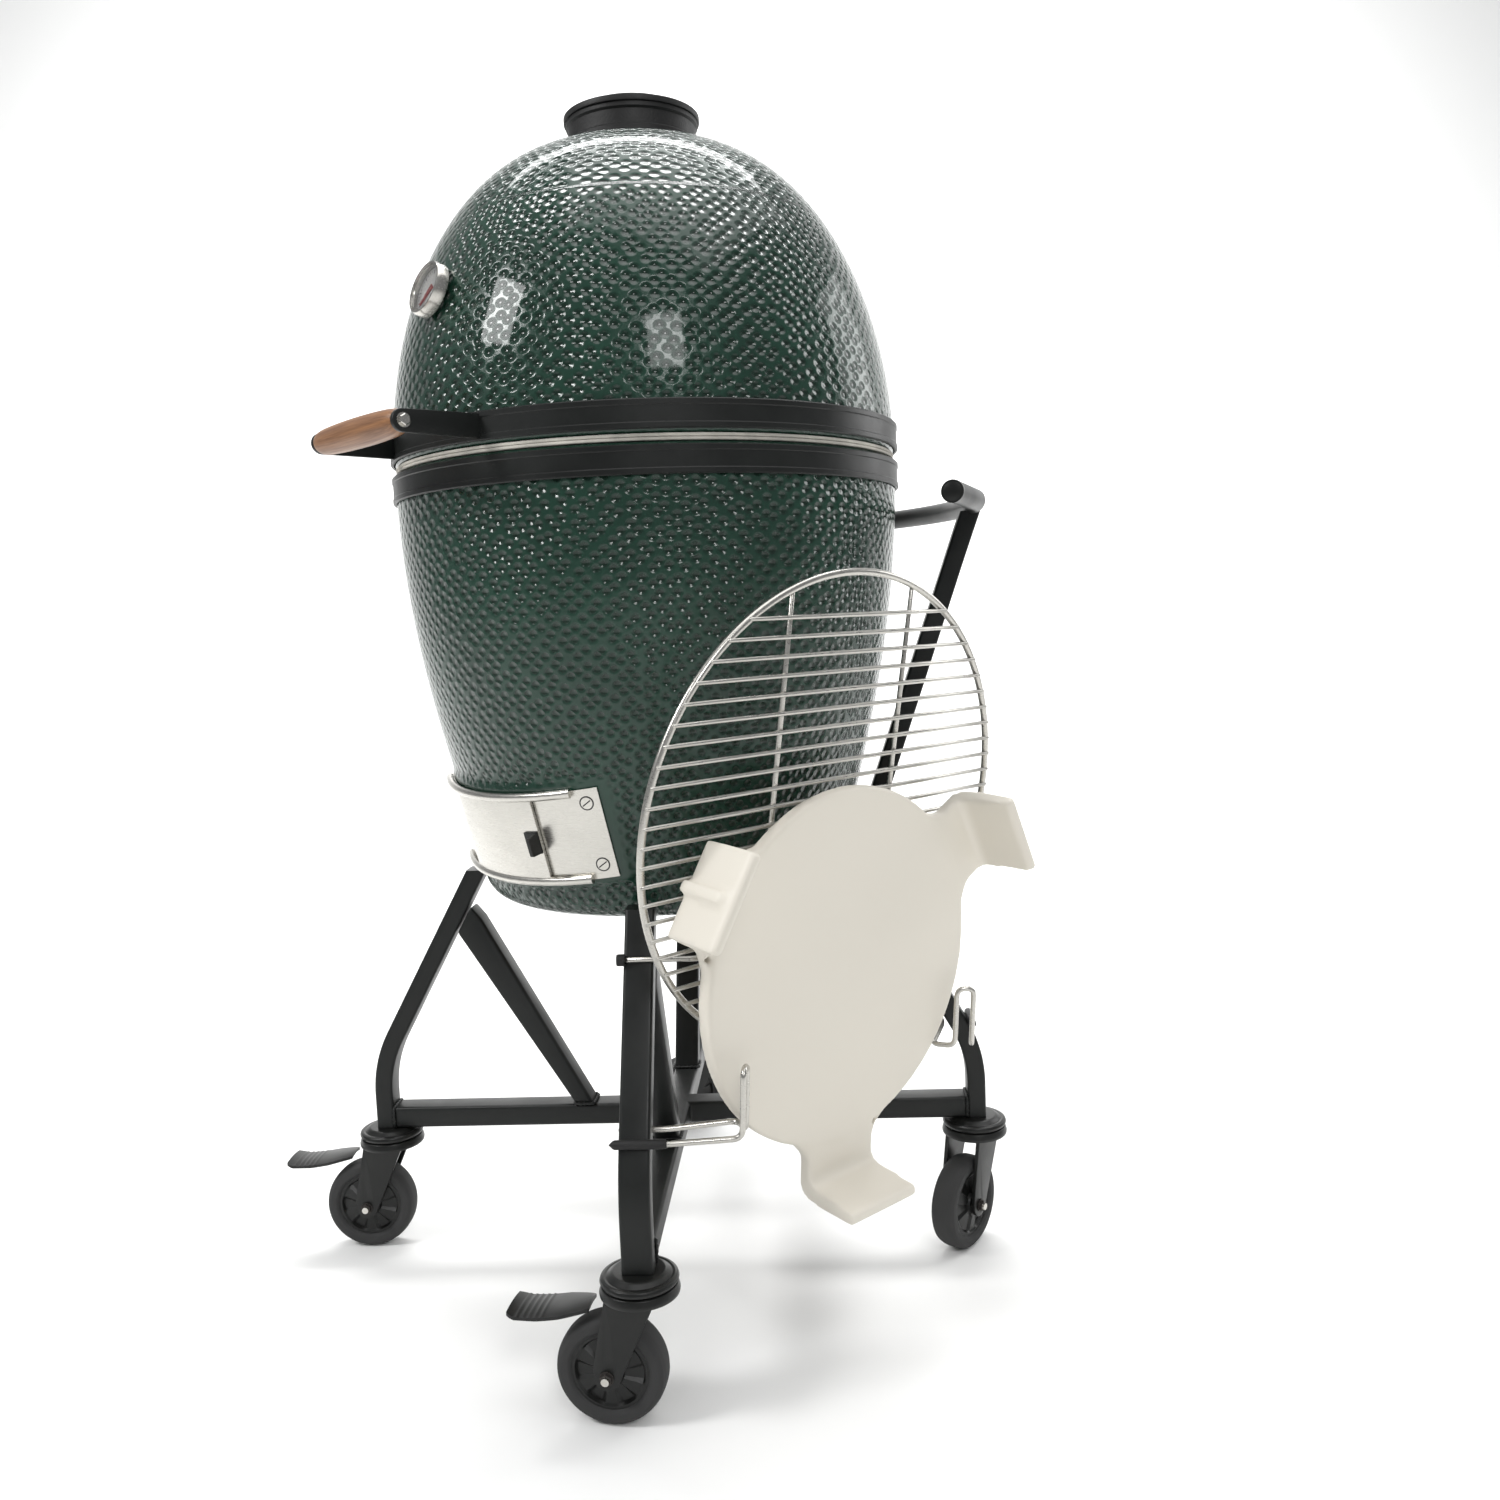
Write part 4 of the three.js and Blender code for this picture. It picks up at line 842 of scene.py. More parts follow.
class KAMADO_OT_rim(bpy.types.Operator):
    """Adds the felt gaskets, the two steel bands, the hinge and their bolts"""

    bl_idname = "kamado.rim"
    bl_label = "Rim, bands and hinge"

    def execute(self, context):
        for node, body in (("base_gasket", "nest"), ("dome_gasket", "dome")):
            low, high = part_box(node)
            inner = float(np.hypot(*points_of(node)[:, :2].T).min())
            profile = [(inner, low.z), (high.x, low.z), (high.x, high.z), (inner, high.z)]
            made = revolve(f"{node}_felt", profile, 160, bend=0.001)
            dress(made, "pressed_felt", body, "felt", node)
        low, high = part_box("base_band")
        self.band("base_band_steel", low.z, high.z, high.x, "nest", "base_band")
        self.dome_band()
        for node, body in (("hinge_bracket", "nest"), ("hinge_arm", "dome")):
            dress_solid(node, 0.0012, "black_powder_coat", body, "powder_coat")
        self.pin_and_spring()
        self.bolts()
        return {"FINISHED"}

    def band(self, name, low, high, outer, body, *nodes):
        inner = EGG + 0.0003
        lip = 0.0011
        profile = [(inner, low), (outer - lip, low), (outer, low + lip), (outer, low + 0.005),
                   (outer - 0.0008, low + 0.006), (outer - 0.0008, high - 0.006), (outer, high - 0.005),
                   (outer, high - lip), (outer - lip, high), (inner, high)]
        made = revolve(name, profile, 200)
        return dress(made, "black_powder_coat", body, "powder_coat", *nodes)

    def dome_band(self):
        low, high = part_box("dome_band")
        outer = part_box("base_band")[1].x
        self.band("dome_band_steel", low.z, high.z, outer, "dome", "dome_band")
        grip_low, grip_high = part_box("lid_grip")
        z, eye = (low.z + high.z) / 2, 0.010
        for side, sign in (("left", -1), ("right", 1)):
            x = sign * (grip_high.x + 0.0028)
            y = (grip_low.y + grip_high.y) / 2
            turn = np.radians(np.linspace(90, 270, 16))
            rounded = np.stack([y + eye * np.cos(turn), z + eye * np.sin(turn)], axis=1)
            wall = -math.sqrt(outer ** 2 - x ** 2) + 0.004
            outline = np.vstack([rounded, [(wall, z - 0.011), (wall, z + 0.011)]])
            verts = np.vstack([np.column_stack([np.full(len(outline), x + s * 0.0025),
                                                outline]) for s in (-1, 1)])
            count = len(outline)
            faces = end_caps(2, count) + grid_faces(2, count, close_columns=True).tolist()
            arm = settle(add_mesh(f"grip_arm_{side}", verts, faces))
            edge = arm.modifiers.new("edge", "BEVEL")
            edge.width, edge.segments, edge.limit_method = 0.0009, 2, "ANGLE"
            dress(smoothed(fixed_mesh(arm), 40), "black_powder_coat", "dome", "powder_coat")
            nut = hex_bolt(f"grip_bolt_{side}", (x + sign * 0.0025, y, z), (sign, 0, 0), 0.005, 0.0045)
            dress(nut, "turned_steel", "dome", "stainless")

    def pin_and_spring(self):
        low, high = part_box("hinge_pin")
        y, z = (low.y + high.y) / 2, (low.z + high.z) / 2
        radius = (high.z - low.z) / 2
        end = high.x
        profile = [(0, -end), (radius * 0.75, -end), (radius, -end + 0.0012), (radius, end - 0.0012),
                   (radius * 0.75, end), (0, end)]
        across = Matrix.Translation((0, y, z)) @ Matrix.Rotation(math.pi / 2, 4, "Y")
        pin = revolve("hinge_pin_turned", profile, 32, place=across)
        dress(pin, "turned_steel", "nest", "stainless", "hinge_pin")
        reach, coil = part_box("hinge_spring")[1].x - 0.002, (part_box("hinge_spring")[1].z - z) - 0.0016
        for side, sign in (("left", -1), ("right", 1)):
            turns = 6.5
            t = np.linspace(0, 1, int(turns * 20))
            a = t * turns * 2 * math.pi
            x = sign * (0.002 + t * (reach - 0.002))
            path = np.stack([x, y + coil * np.cos(a), z + coil * np.sin(a)], axis=1)
            spring = tube(f"hinge_spring_{side}", path, circle(0.0014, 8))
            node = ["hinge_spring"] if sign < 0 else []
            dress(spring, "turned_steel", "nest", "stainless", *node)

    def bolts(self):
        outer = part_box("base_band")[1].x
        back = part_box("hinge_bracket")[0]
        for label, node, body in (("base", "base_band", "nest"), ("dome", "dome_band", "dome")):
            z = middle(node).z
            for side, x in (("left", -0.026), ("right", 0.026)):
                y = math.sqrt((outer + 0.0043) ** 2 - x * x) + 0.0006
                bolt = hex_bolt(f"{label}_band_bolt_{side}", (x, max(y, back.y) + 0.0015, z), (0, 1, 0),
                                0.0045, 0.004)
                dress(bolt, "turned_steel", body, "stainless")


# ---- lid grip, thermometer, vent ----------------------------------------------------------------


class KAMADO_OT_lid_fittings(bpy.types.Operator):
    """Adds the wooden grip, the dome thermometer and the chimney vent"""

    bl_idname = "kamado.lid_fittings"
    bl_label = "Lid fittings"

    def execute(self, context):
        self.grip()
        self.thermometer()
        self.vent()
        return {"FINISHED"}

    def grip(self):
        low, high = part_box("lid_grip")
        centre, end, radius = (low + high) / 2, high.x, (high.z - low.z) / 2
        s = np.linspace(-1, 1, 48)
        bulge = radius * (0.80 + 0.20 * np.cos(s * math.pi / 2) ** 0.6)
        outline = np.vstack([[(0, -end)], np.stack([bulge * (1 - 0.12 * np.abs(s) ** 14), s * end], axis=1),
                             [(0, end)]])
        across = Matrix.Translation(centre) @ Matrix.Rotation(math.pi / 2, 4, "Y")
        dress(revolve("wooden_grip", outline, 48, place=across), "oiled_hardwood", "dome", "wood", "lid_grip")

    def thermometer(self):
        place = hinge_place("needle_turn", -1)
        local = seen_from(place, points_of("thermometer_case"))
        radius, front = float(np.hypot(local[:, 0], local[:, 1]).max()), float(local[:, 2].max())
        shadow_ring, face = 0.0015, front - 0.0078
        case = [(0, -0.050), (0.0032, -0.050), (0.0032, shadow_ring), (radius - 0.002, shadow_ring), (radius, shadow_ring + 0.002),
                (radius, front - 0.003), (radius - 0.001, front), (radius - 0.0032, front),
                (radius - 0.0034, face),
                (0, face)]
        dress(revolve("thermometer_bezel", case, 72, place=place), "turned_steel", "dome", "stainless",
              "thermometer_case")
        dial = revolve("thermometer_dial",
                       [(0, face), (radius - 0.0036, face), (radius - 0.0036, face + 0.0002),
                                            (0, face + 0.0002)], 64, place=place)
        dress(dial, "dial_white", "dome", "stainless")
        self.ticks(radius, face, place)
        glass_z = front - 0.0014
        lens = revolve("thermometer_glass", [(0, glass_z - 0.001), (radius - 0.0036, glass_z - 0.001),
                                             (radius - 0.0036, glass_z - 0.0002), (0, glass_z)], 64,
                       place=place)
        dress(lens, "gauge_glass", "dome", "stainless")
        dress_solid("thermometer_needle", 0.0002, "needle_red", "gauge_needle", "cast_iron", segments=1)

    def ticks(self, radius, face, place):
        """Short bars on the dial, spread evenly over its sweep of 265 degrees; each fourth one is longer."""
        verts, faces = [], []
        for i in range(25):
            a = math.radians(-132.5 + 265 * i / 24)
            long = i % 4 == 0
            outer, inner = radius - 0.0055, radius - (0.0098 if long else 0.0076)
            half = 0.0004 if long else 0.00022
            along, across = np.array([math.sin(a), math.cos(a)]), np.array([math.cos(a), -math.sin(a)])
            flat = [along * r + across * s * half for r,
                    s in ((inner, -1), (outer, -1), (outer, 1), (inner, 1))]
            base = len(verts)
            verts += [(*p, face + z) for z in (0.00015, 0.00032) for p in flat]
            faces += [tuple(base + k for k in q) for q in BOX_FACES]
        made = add_mesh("thermometer_marks", verts, faces)
        made.data.transform(place)
        dress(settle(made, merge=1e-7), "ink_and_painted_shade", "dome", "cast_iron")

    def vent(self):
        size = bpy.context.scene.kamado_sizes
        low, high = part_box("vent_collar")
        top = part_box("vent_cap")[0].z - 0.0003
        bore = size.chimney_bore
        inner = size.chimney_radius + 0.0003
        profile = [(inner, low.z), (high.x, low.z), (high.x, low.z + 0.005), (high.x - 0.002, low.z + 0.007),
                   (high.x - 0.002, top - 0.006), (high.x, top - 0.004), (high.x, top), (bore, top),
                   (bore, CHIMNEY_Z + 0.0003), (inner, CHIMNEY_Z + 0.0003)]
        dress(revolve("vent_collar_cast", profile, 96), "cast_iron_paint", "dome", "cast_iron", "vent_collar")
        pin = Vector(joint("vent_cap_swing")["pos_m"])
        rivet = revolve("vent_pin", [(0, top - 0.002), (0.004, top - 0.002), (0.004, high.z - 0.001),
                                     (0.003, high.z), (0, high.z)], 24,
                        place=Matrix.Translation((pin.x, pin.y, 0)))
        dress(rivet, "turned_steel", "dome", "stainless")
        for node, body in (("vent_cap", "vent_cap_body"), ("vent_dial", "vent_dial_body")):
            self.plate(node, body, pin)
        dial_low, dial_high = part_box("vent_dial")
        plate_top = dial_low.z + 0.006
        knob = revolve("vent_knob", [(0, plate_top - 0.0005), (0.0065, plate_top - 0.0005),
                                     (0.0048, plate_top + 0.004),
                                     (0.009, dial_high.z - 0.006), (0.0088, dial_high.z - 0.001),
                                     (0.006, dial_high.z), (0, dial_high.z)], 36, bend=0.0008)
        dress(knob, "cast_iron_paint", "vent_dial_body", "cast_iron")

    def plate(self, node, body, pin):
        """A round plate with a ring of holes: a flat curve, thickened, with its edges rounded."""
        low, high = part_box(node)
        radius, thick = (high.x - low.x) / 2, 0.006
        points = points_of(node)
        curve = bpy.data.curves.new(f"{node}_plate", "CURVE")
        curve.dimensions, curve.fill_mode = "2D", "BOTH"
        edge = 0.0007
        curve.extrude, curve.bevel_depth, curve.bevel_resolution = thick / 2 - edge, edge, 2
        turned = 0.0 if node == "vent_cap" else 36.0
        circles = [(0.0, 0.0, radius - edge, 96)]
        for i in range(5):
            a = math.radians(72 * i + turned)
            circles.append((math.sin(a) * 0.0264, -math.cos(a) * 0.0264, 0.009 + edge, 32))
        if node == "vent_cap":
            circles.append((pin.x, pin.y, 0.0043 + edge, 24))
        for x, y, r, steps in circles:
            ring = circle(r, steps)
            spline = curve.splines.new("POLY")
            spline.points.add(steps - 1)
            flat = np.column_stack([ring + (x, y), np.zeros(steps), np.ones(steps)])
            spline.points.foreach_set("co", flat.reshape(-1))
            spline.use_cyclic_u = True
        drawn = in_scene(f"{node}_curve", curve)
        bpy.context.view_layer.update()
        mesh = bpy.data.meshes.new_from_object(drawn.evaluated_get(bpy.context.evaluated_depsgraph_get()))
        bpy.data.objects.remove(drawn)
        mesh.transform(Matrix.Translation((0, 0, float(points[:, 2].min()) + thick / 2)))
        made = in_scene(f"{node}_plate", mesh)
        dress(settle(made, 40.0), "cast_iron_paint", body, "cast_iron", node)


# ---- draft door ---------------------------------------------------------------------------------


def slotted_screw(name, place, radius, body):
    """A flush screw: a low domed head on a dark disc of painted shadow round it, with a dark bar of painted
    shade across it for its slot. The plates pass over it.
    """
    # Painted shadow: a dark ring round the head, where the gap beside it would be in shade.
    shadow_ring = revolve(f"{name}_seat", [(0, -0.0002), (radius * 1.22, -0.0002), (radius * 1.22, 0.00015),
                                    (0, 0.00015)], 32,
                   place=place)
    dress(shadow_ring, "ink_and_painted_shade", body, "stainless")
    r = np.linspace(0, 1, 9)
    crown = np.column_stack([r * radius, 0.00024 + 0.0002 * np.sqrt(np.clip(1 - r ** 2, 0, 1))])
    head = revolve(f"{name}_head", np.vstack([crown, [(radius, 0), (0, 0)]]), 36, place=place)
    dress(head, "turned_steel", body, "stainless")
    # Painted shade: a dark bar on the head stands in for the shaded slot.
    x, y = radius * 0.86, 0.0006
    corners = [(i, j, k) for k in (0.0001, 0.0005) for i, j in ((-x, -y), (x, -y), (x, y), (-x, y))]
    slot_shade = add_mesh(f"{name}_slot", corners, BOX_FACES)
    slot_shade.data.transform(place @ Matrix.Rotation(0.5, 4, "Z"))
    dress(settle(slot_shade), "ink_and_painted_shade", body, "stainless")


class KAMADO_OT_draft_door(bpy.types.Operator):
    """Adds the draft door's frame with its rolled rails, its sliding plates, tab and screws"""

    bl_idname = "kamado.draft_door"
    bl_label = "Draft door"

    def execute(self, context):
        place = hinge_place("draft_door_slide")

        def local_reach(node):
            local = seen_from(place, points_of(node))
            angle = np.degrees(np.arctan2(local[:, 0], -local[:, 1]))
            radius = np.hypot(local[:, 0], local[:, 1])
            return (angle.min(), angle.max()), (radius.min(), radius.max()), (local[:, 2].min(),
                                                                              local[:, 2].max())

        self.frame(place, *local_reach("draft_frame"))
        for node in ("draft_door", "ember_screen"):
            angles, radii, levels = local_reach(node)
            slab = [(radii[0], levels[0]), (radii[1], levels[0]), (radii[1], levels[1]),
                    (radii[0], levels[1])]
            made = revolve(f"{node}_plate", slab, 40, bend=0.0004, arc=angles, place=place)
            dress(made, "brushed_plate", f"{node}_body", "stainless", node)
        self.tab(place, *local_reach("draft_tab"))
        return {"FINISHED"}

    def frame(self, place, angles, radii, levels):
        inner, outer = radii
        low, high = levels
        edge, plate = 0.003, 0.0015
        slabs = [(angles[0], -DOOR_OPENING, low + edge, high - edge),
                 (DOOR_OPENING, angles[1], low + edge, high - edge),
                 (-DOOR_OPENING, DOOR_OPENING, low + edge, -DOOR_OPENING_HALF),
                 (-DOOR_OPENING, DOOR_OPENING, DOOR_OPENING_HALF, high - edge)]
        parts = []
        for number, (a0, a1, z0, z1) in enumerate(slabs):
            steps = max(4, int((a1 - a0) / 1.5))
            section = [(inner, z0), (inner + plate, z0), (inner + plate, z1), (inner, z1)]
            parts.append(revolve(f"frame_slab_{number}", section, steps, arc=(a0, a1), place=place))
        for sign in (-1, 1):
            z = low if sign < 0 else high
            turn = np.radians(np.linspace(-90, 150, 14))
            depth = (outer - inner) / 2
            round_z = 0.0045
            bead = np.stack([inner + depth + depth * np.cos(turn),
                             z - sign * round_z + sign * round_z * np.sin(turn)],
                            axis=1)
            back = [(inner + plate * 1.2, z - sign * round_z * 0.4),
                    (inner + plate * 1.2, z - sign * round_z * 1.6)]
            span = (angles[0] + 7.0, angles[1] - 7.0)
            parts.append(revolve(f"frame_rail_{sign}", np.vstack([bead, back]), 56, arc=span, place=place))
        dress(smoothed(joined("draft_door_frame", parts), 35), "brushed_plate", "nest", "stainless",
              "draft_frame")
        number = 0
        for angle in (angles[0] + 3.6, angles[1] - 3.6):
            for z in SCREW_LEVELS:
                number += 1
                a = math.radians(angle)
                out = Vector((math.sin(a), -math.cos(a), 0))
                shadow_ring = place @ facing(out, out * (inner + plate) + Vector((0, 0, z)))
                slotted_screw(f"frame_screw_{number}", shadow_ring, SCREW_RADIUS, "nest")

    def tab(self, place, angles, radii, levels):
        """A thin foot along the plate's right edge, with a fin that stands straight out from it."""
        inner, outer = radii
        foot = [(inner - 0.0003, levels[0]), (inner + 0.0018, levels[0]), (inner + 0.0018, levels[1]),
                (inner - 0.0003, levels[1])]
        body = revolve("tab_foot", foot, 12, bend=0.0006, arc=angles, place=place)
        fin = [(inner + 0.0005, levels[0] + 0.0004), (outer, levels[0] + 0.002), (outer, levels[1] - 0.002),
               (inner + 0.0005, levels[1] - 0.0004)]
        pull = revolve("tab_fin", fin, 4, bend=0.002, arc=(angles[1] - 0.86, angles[1] - 0.04), place=place)
        dress(smoothed(joined("draft_tab_pull", [body, pull]), 35), "hub_nylon", "draft_door_body", "nylon",
              "draft_tab")


# ---- grids --------------------------------------------------------------------------------------


class KAMADO_OT_grids(bpy.types.Operator):
    """Adds the cooking grid on the fire ring and the spare grid that hangs on the right"""

    bl_idname = "kamado.grids"
    bl_label = "Cooking grids"

    def execute(self, context):
        size = context.scene.kamado_sizes
        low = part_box("cooking_grid")[0]
        rest = Matrix.Translation((0, 0, low.z + size.grid_ring))
        self.grid("cooking_grid", "cooking_grid_body", rest, size)
        lean = math.atan2(joint("spare_grid_lift")["axis"][0], joint("spare_grid_lift")["axis"][2])
        points = points_of("spare_grid")
        hung = Matrix.Rotation(math.pi / 2 + lean, 4, "Y")
        flat = points @ np.array(hung)[:3, :3]
        offset = Vector(hung.to_3x3() @ Vector(((flat[:, 0].max() + flat[:, 0].min()) / 2, 0,
                                               flat[:, 2].min() + size.grid_ring)))
        self.grid("spare_grid", "spare_grid_body", Matrix.Translation(offset) @ hung, size)
        return {"FINISHED"}

    def grid(self, node, body, place, size):
        """A ring with rods along Y welded on top, each a little past the ring, and two braces under them."""
        radius = half_width("cooking_grid") - size.grid_ring
        top = size.grid_ring * 0.75
        turn = np.linspace(0, 2 * math.pi, 181)[:-1]
        ring_path = np.stack([np.cos(turn) * radius, np.sin(turn) * radius, np.zeros(180)], axis=1)
        ring = tube(f"{node}_ring", ring_path, circle(size.grid_ring, 12), closed=True)
        rods = []
        for i in range(-GRID_RODS, GRID_RODS + 1):
            x = i * size.grid_pitch
            half = math.sqrt(radius ** 2 - x * x) + size.grid_ring * 0.75
            rods.append((np.array([(x, y, top) for y in np.linspace(-half, half, 5)]), size.grid_wire, 10))
        half = math.sqrt(radius ** 2 - GRID_BRACE ** 2)
        under = top - size.grid_wire * 1.85
        for y in (-GRID_BRACE, GRID_BRACE):
            rods.append((np.array([(x, y, under) for x in np.linspace(-half, half, 5)]),
                         size.grid_wire * 1.15, 10))
        rod_piece = wires(f"{node}_rods", rods)
        for made in (ring, rod_piece):
            made.data.transform(place)
        dress(ring, "drawn_wire", body, "stainless", node)
        dress(rod_piece, "drawn_wire", body, "stainless")


# ---- heat deflector -----------------------------------------------------------------------------


class KAMADO_OT_deflector(bpy.types.Operator):
    """Adds the three-legged ceramic heat deflector"""

    bl_idname = "kamado.deflector"
    bl_label = "Heat deflector"

    def execute(self, context):
        lean = math.radians(PLATE_LEAN)
        axis = Vector((math.cos(lean), 0, -math.sin(lean)))
        side, up = Vector((0, 1, 0)), Vector((math.sin(lean), 0, math.cos(lean)))
        turned = Matrix((side, up, axis)).transposed()
        local = points_of("heat_deflector") @ np.array(turned)
        flat = local[local[:, 2] < local[:, 2].min() + 1e-4]
        radius = (flat[:, 0].max() - flat[:, 0].min()) / 2
        centre = Vector((0, flat[:, 1].max() - radius, local[:, 2].min()))
        place = turned.to_4x4()
        place.translation = turned @ centre
        height = float(local[:, 2].max() - local[:, 2].min())
        parts = [revolve("deflector_disc", [(0, 0), (radius, 0), (radius, PLATE_WALL), (0, PLATE_WALL)], 120,
                         bend=0.003)]
        for number, angle in enumerate((30, 150, 270)):
            parts += self.leg(number, radius, height, math.radians(angle))
        made = joined("heat_deflector_cast", parts)
        skin = made.modifiers.new("skin", "REMESH")
        skin.mode, skin.voxel_size, skin.use_smooth_shade = "VOXEL", 0.0026, True
        soften = made.modifiers.new("soften", "SMOOTH")
        soften.factor, soften.iterations = 0.5, 7
        fixed_mesh(made)
        made.data.transform(place)
        made.data.shade_smooth()
        dress(made, "fireclay", "deflector_body", "fireclay", "heat_deflector")
        return {"FINISHED"}

    def slab(self, name, outline, half, angle, upright=True):
        """A flat outline given thickness. Upright ones are (radius, height) across the leg's width. Others are
        (radius, sideways), between two heights given as half = (low, high)."""
        outline = np.asarray(outline, float)
        low, high = (-half, half) if upright else half
        order = (0, 2, 1) if upright else (0, 1, 2)
        sides = [np.column_stack([outline[:, 0], outline[:, 1], np.full(len(outline), level)])[:, order]
                 for level in (low, high)]
        count = len(outline)
        faces = grid_faces(2, count, close_columns=True).tolist() + end_caps(2, count)
        made = settle(add_mesh(name, np.vstack(sides), faces))
        made.data.transform(Matrix.Rotation(angle, 4, "Z"))
        return made

    def leg(self, number, radius, height, angle):
        """A neck that widens into the disc, a foot upright at its end, and a rib up the foot's outer face."""
        reach, thick, low, high = 0.2276, 0.012, 0.0008, PLATE_WALL - 0.0008
        outline = eased([(radius - 0.048, low), (reach - thick - 0.001, low), (reach - 0.0018, thick),
                         (reach, height - 0.0006), (reach - thick, height - 0.0006),
                         (reach - thick - 0.006, high),
                         (radius - 0.048, high)], 0.009, 5, closed=True)
        turn = np.radians(np.linspace(0, 70, 10))
        curve = np.stack([radius + 0.012 - 0.026 * (1 - np.sin(turn)),
                          0.0445 + 0.030 * (1 - np.cos(turn[::-1]))],
                         axis=1)
        flare = np.vstack([curve[::-1], curve * (1, -1), [(radius - 0.040, -0.066), (radius - 0.040, 0.066)]])
        rib = eased([(reach - 0.004, 0.004), (reach + 0.0035, 0.007), (reach + 0.0045, height - 0.014),
                     (reach - 0.004, height - 0.008)], 0.004, 4, closed=True)
        return [self.slab(f"deflector_leg_{number}", outline, 0.0445, angle),
                self.slab(f"deflector_flare_{number}", flare, (low, high), angle, upright=False),
                self.slab(f"deflector_rib_{number}", rib, 0.0052, angle)]


# ---- nest ---------------------------------------------------------------------------------------


def weld_bead(name, corners, radius):
    """A closed bead of weld round the foot of a tube, with its ripples as a sine of the length."""
    path = eased(corners, 0.004, 4, closed=True)
    dense = []
    for a, b in zip(path, np.roll(path, -1, 0)):
        steps = max(1, int(np.linalg.norm(b - a) / 0.0016))
        dense += [a + (b - a) * t for t in np.arange(steps) / steps]
    dense = np.array(dense)
    section = circle(1.0, 8)
    points = sweep_points(dense, section, closed=True).reshape(len(dense), 8, 3)
    ripple = radius * (0.85 + 0.25 * np.sin(np.arange(len(dense)) * 2.1))
    points = dense[:, None] + (points - dense[:, None]) * ripple[:, None, None]
    return settle(add_mesh(name, points.reshape(-1, 3), grid_faces(len(dense), 8, True, True)), 60.0)


class KAMADO_OT_nest(bpy.types.Operator):
    """Adds the nest's legs, braces, cross rails, handle posts and push handle"""

    bl_idname = "kamado.nest"
    bl_label = "Nest and push handle"

    def execute(self, context):
        size = context.scene.kamado_sizes
        edge = size.tube_edge
        foot_z, top_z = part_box("leg_front_left")[0].z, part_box("leg_front_left")[1].z
        for corner, azimuth in zip(CORNERS, (-45, 45, 135, -135)):
            route = [(LEG_RADIUS, foot_z), (LEG_RADIUS, LEG_KNEE), (LEG_TOP, top_z)]
            self.bar(f"leg_{corner}", route, azimuth, 0.02, 0.028, 0.060, edge)
            dress_solid(f"brace_{corner}", edge, "black_powder_coat", "nest", "powder_coat", segments=4)
            self.welds(corner)
        dress_solid("cross_rails", edge, "black_powder_coat", "nest", "powder_coat", segments=4)
        for side, azimuth in (("right", 135), ("left", -135)):
            node = f"handle_post_{side}"
            low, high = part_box(node)
            route = [(0.213, low.z + 0.001), (0.325, 0.762), (0.340, high.z)]
            self.bar(node, route, azimuth, 0.02, 0.0224, 0.030, edge)
        self.handle()
        return {"FINISHED"}

    def bar(self, node, route, azimuth, depth, width, bend, edge):
        """A rounded rectangular tube swept along a route of (radius, height) in one upright plane, and cut
        level at its two ends."""
        a = math.radians(azimuth)
        out, side = np.array([math.sin(a), -math.cos(a), 0]), np.array([math.cos(a), math.sin(a), 0])
        line = eased([np.array(p) for p in route], bend, 16)
        along = np.gradient(line, axis=0)
        along /= np.linalg.norm(along, axis=1)[:, None]
        along[0] = along[-1] = (0, 1)
        across = np.stack([along[:, 1], -along[:, 0]], axis=1)
        widen = np.ones(len(line))
        for end, near in ((0, 1), (-1, -2)):
            slope = line[near] - line[end]
            widen[end] = np.linalg.norm(slope) / max(abs(slope[1]), 1e-9)
        w, d = width / 2, depth / 2
        section = eased([(d, w), (-d, w), (-d, -w), (d, -w)], edge, 4, closed=True)
        flat = line[:, None] + across[:, None] * section[None, :, :1] * widen[:, None, None]
        verts = (flat[..., :1] * out + section[None, :, 1:] * side
                 + flat[..., 1:] * np.array([0, 0, 1.0])).reshape(-1, 3)
        rows, count = len(line), len(section)
        faces = grid_faces(rows, count, close_columns=True).tolist() + end_caps(rows, count)
        made = settle(add_mesh(f"{node}_tube", verts, faces), 35.0)
        dress(made, "black_powder_coat", "nest", "powder_coat", node)

    def welds(self, corner):
        """Beads where the leg meets the rail and where the brace stands on the rail."""
        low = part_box(f"brace_{corner}")[0]
        sign_x, sign_y = (-1 if "left" in corner else 1), (-1 if "front" in corner else 1)
        out = np.array([sign_x, sign_y, 0]) / math.sqrt(2)
        across = np.array([-out[1], out[0], 0])
        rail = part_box("cross_rails")[1].z
        points = points_of(f"brace_{corner}")
        foot = points[points[:, 2] < low.z + 1e-4]
        reach = foot @ out
        half = 0.0148
        near, far = reach.min() - 0.0006, reach.max() + 0.0006
        corners = [out * r + across * t + (0, 0, rail + 0.0012)
                   for r, t in ((near, -half), (near, half), (far, half), (far, -half))]
        bead = weld_bead(f"brace_weld_{corner}", corners, 0.0021)
        dress(bead, "black_powder_coat", "nest", "powder_coat")
        end = (points_of("cross_rails") @ out).max()
        rail_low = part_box("cross_rails")[0].z
        corners = [out * (end - 0.0006) + across * t + (0, 0, z)
                   for t, z in ((-half, rail_low + 0.001), (half, rail_low + 0.001), (half, rail - 0.0002),
                                (-half, rail - 0.0002))]
        bead = weld_bead(f"rail_weld_{corner}", corners, 0.002)
        dress(bead, "black_powder_coat", "nest", "powder_coat")

    def handle(self):
        low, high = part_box("push_handle")
        radius = HANDLE_TUBE
        z = (low.z + high.z) / 2
        bow = high.y - radius
        arc = np.radians(np.linspace(180 - 54, 180 + 54, 64))
        middle_part = np.stack([bow * np.sin(arc), -bow * np.cos(arc), np.full(64, z)], axis=1)

        def grip(azimuth, sign):
            a = math.radians(azimuth)
            b = math.radians(azimuth - sign * HANDLE_FLARE)
            start = np.array([bow * math.sin(a), -bow * math.cos(a), z])
            return start - sign * HANDLE_GRIP * np.array([math.cos(b), math.sin(b), 0])

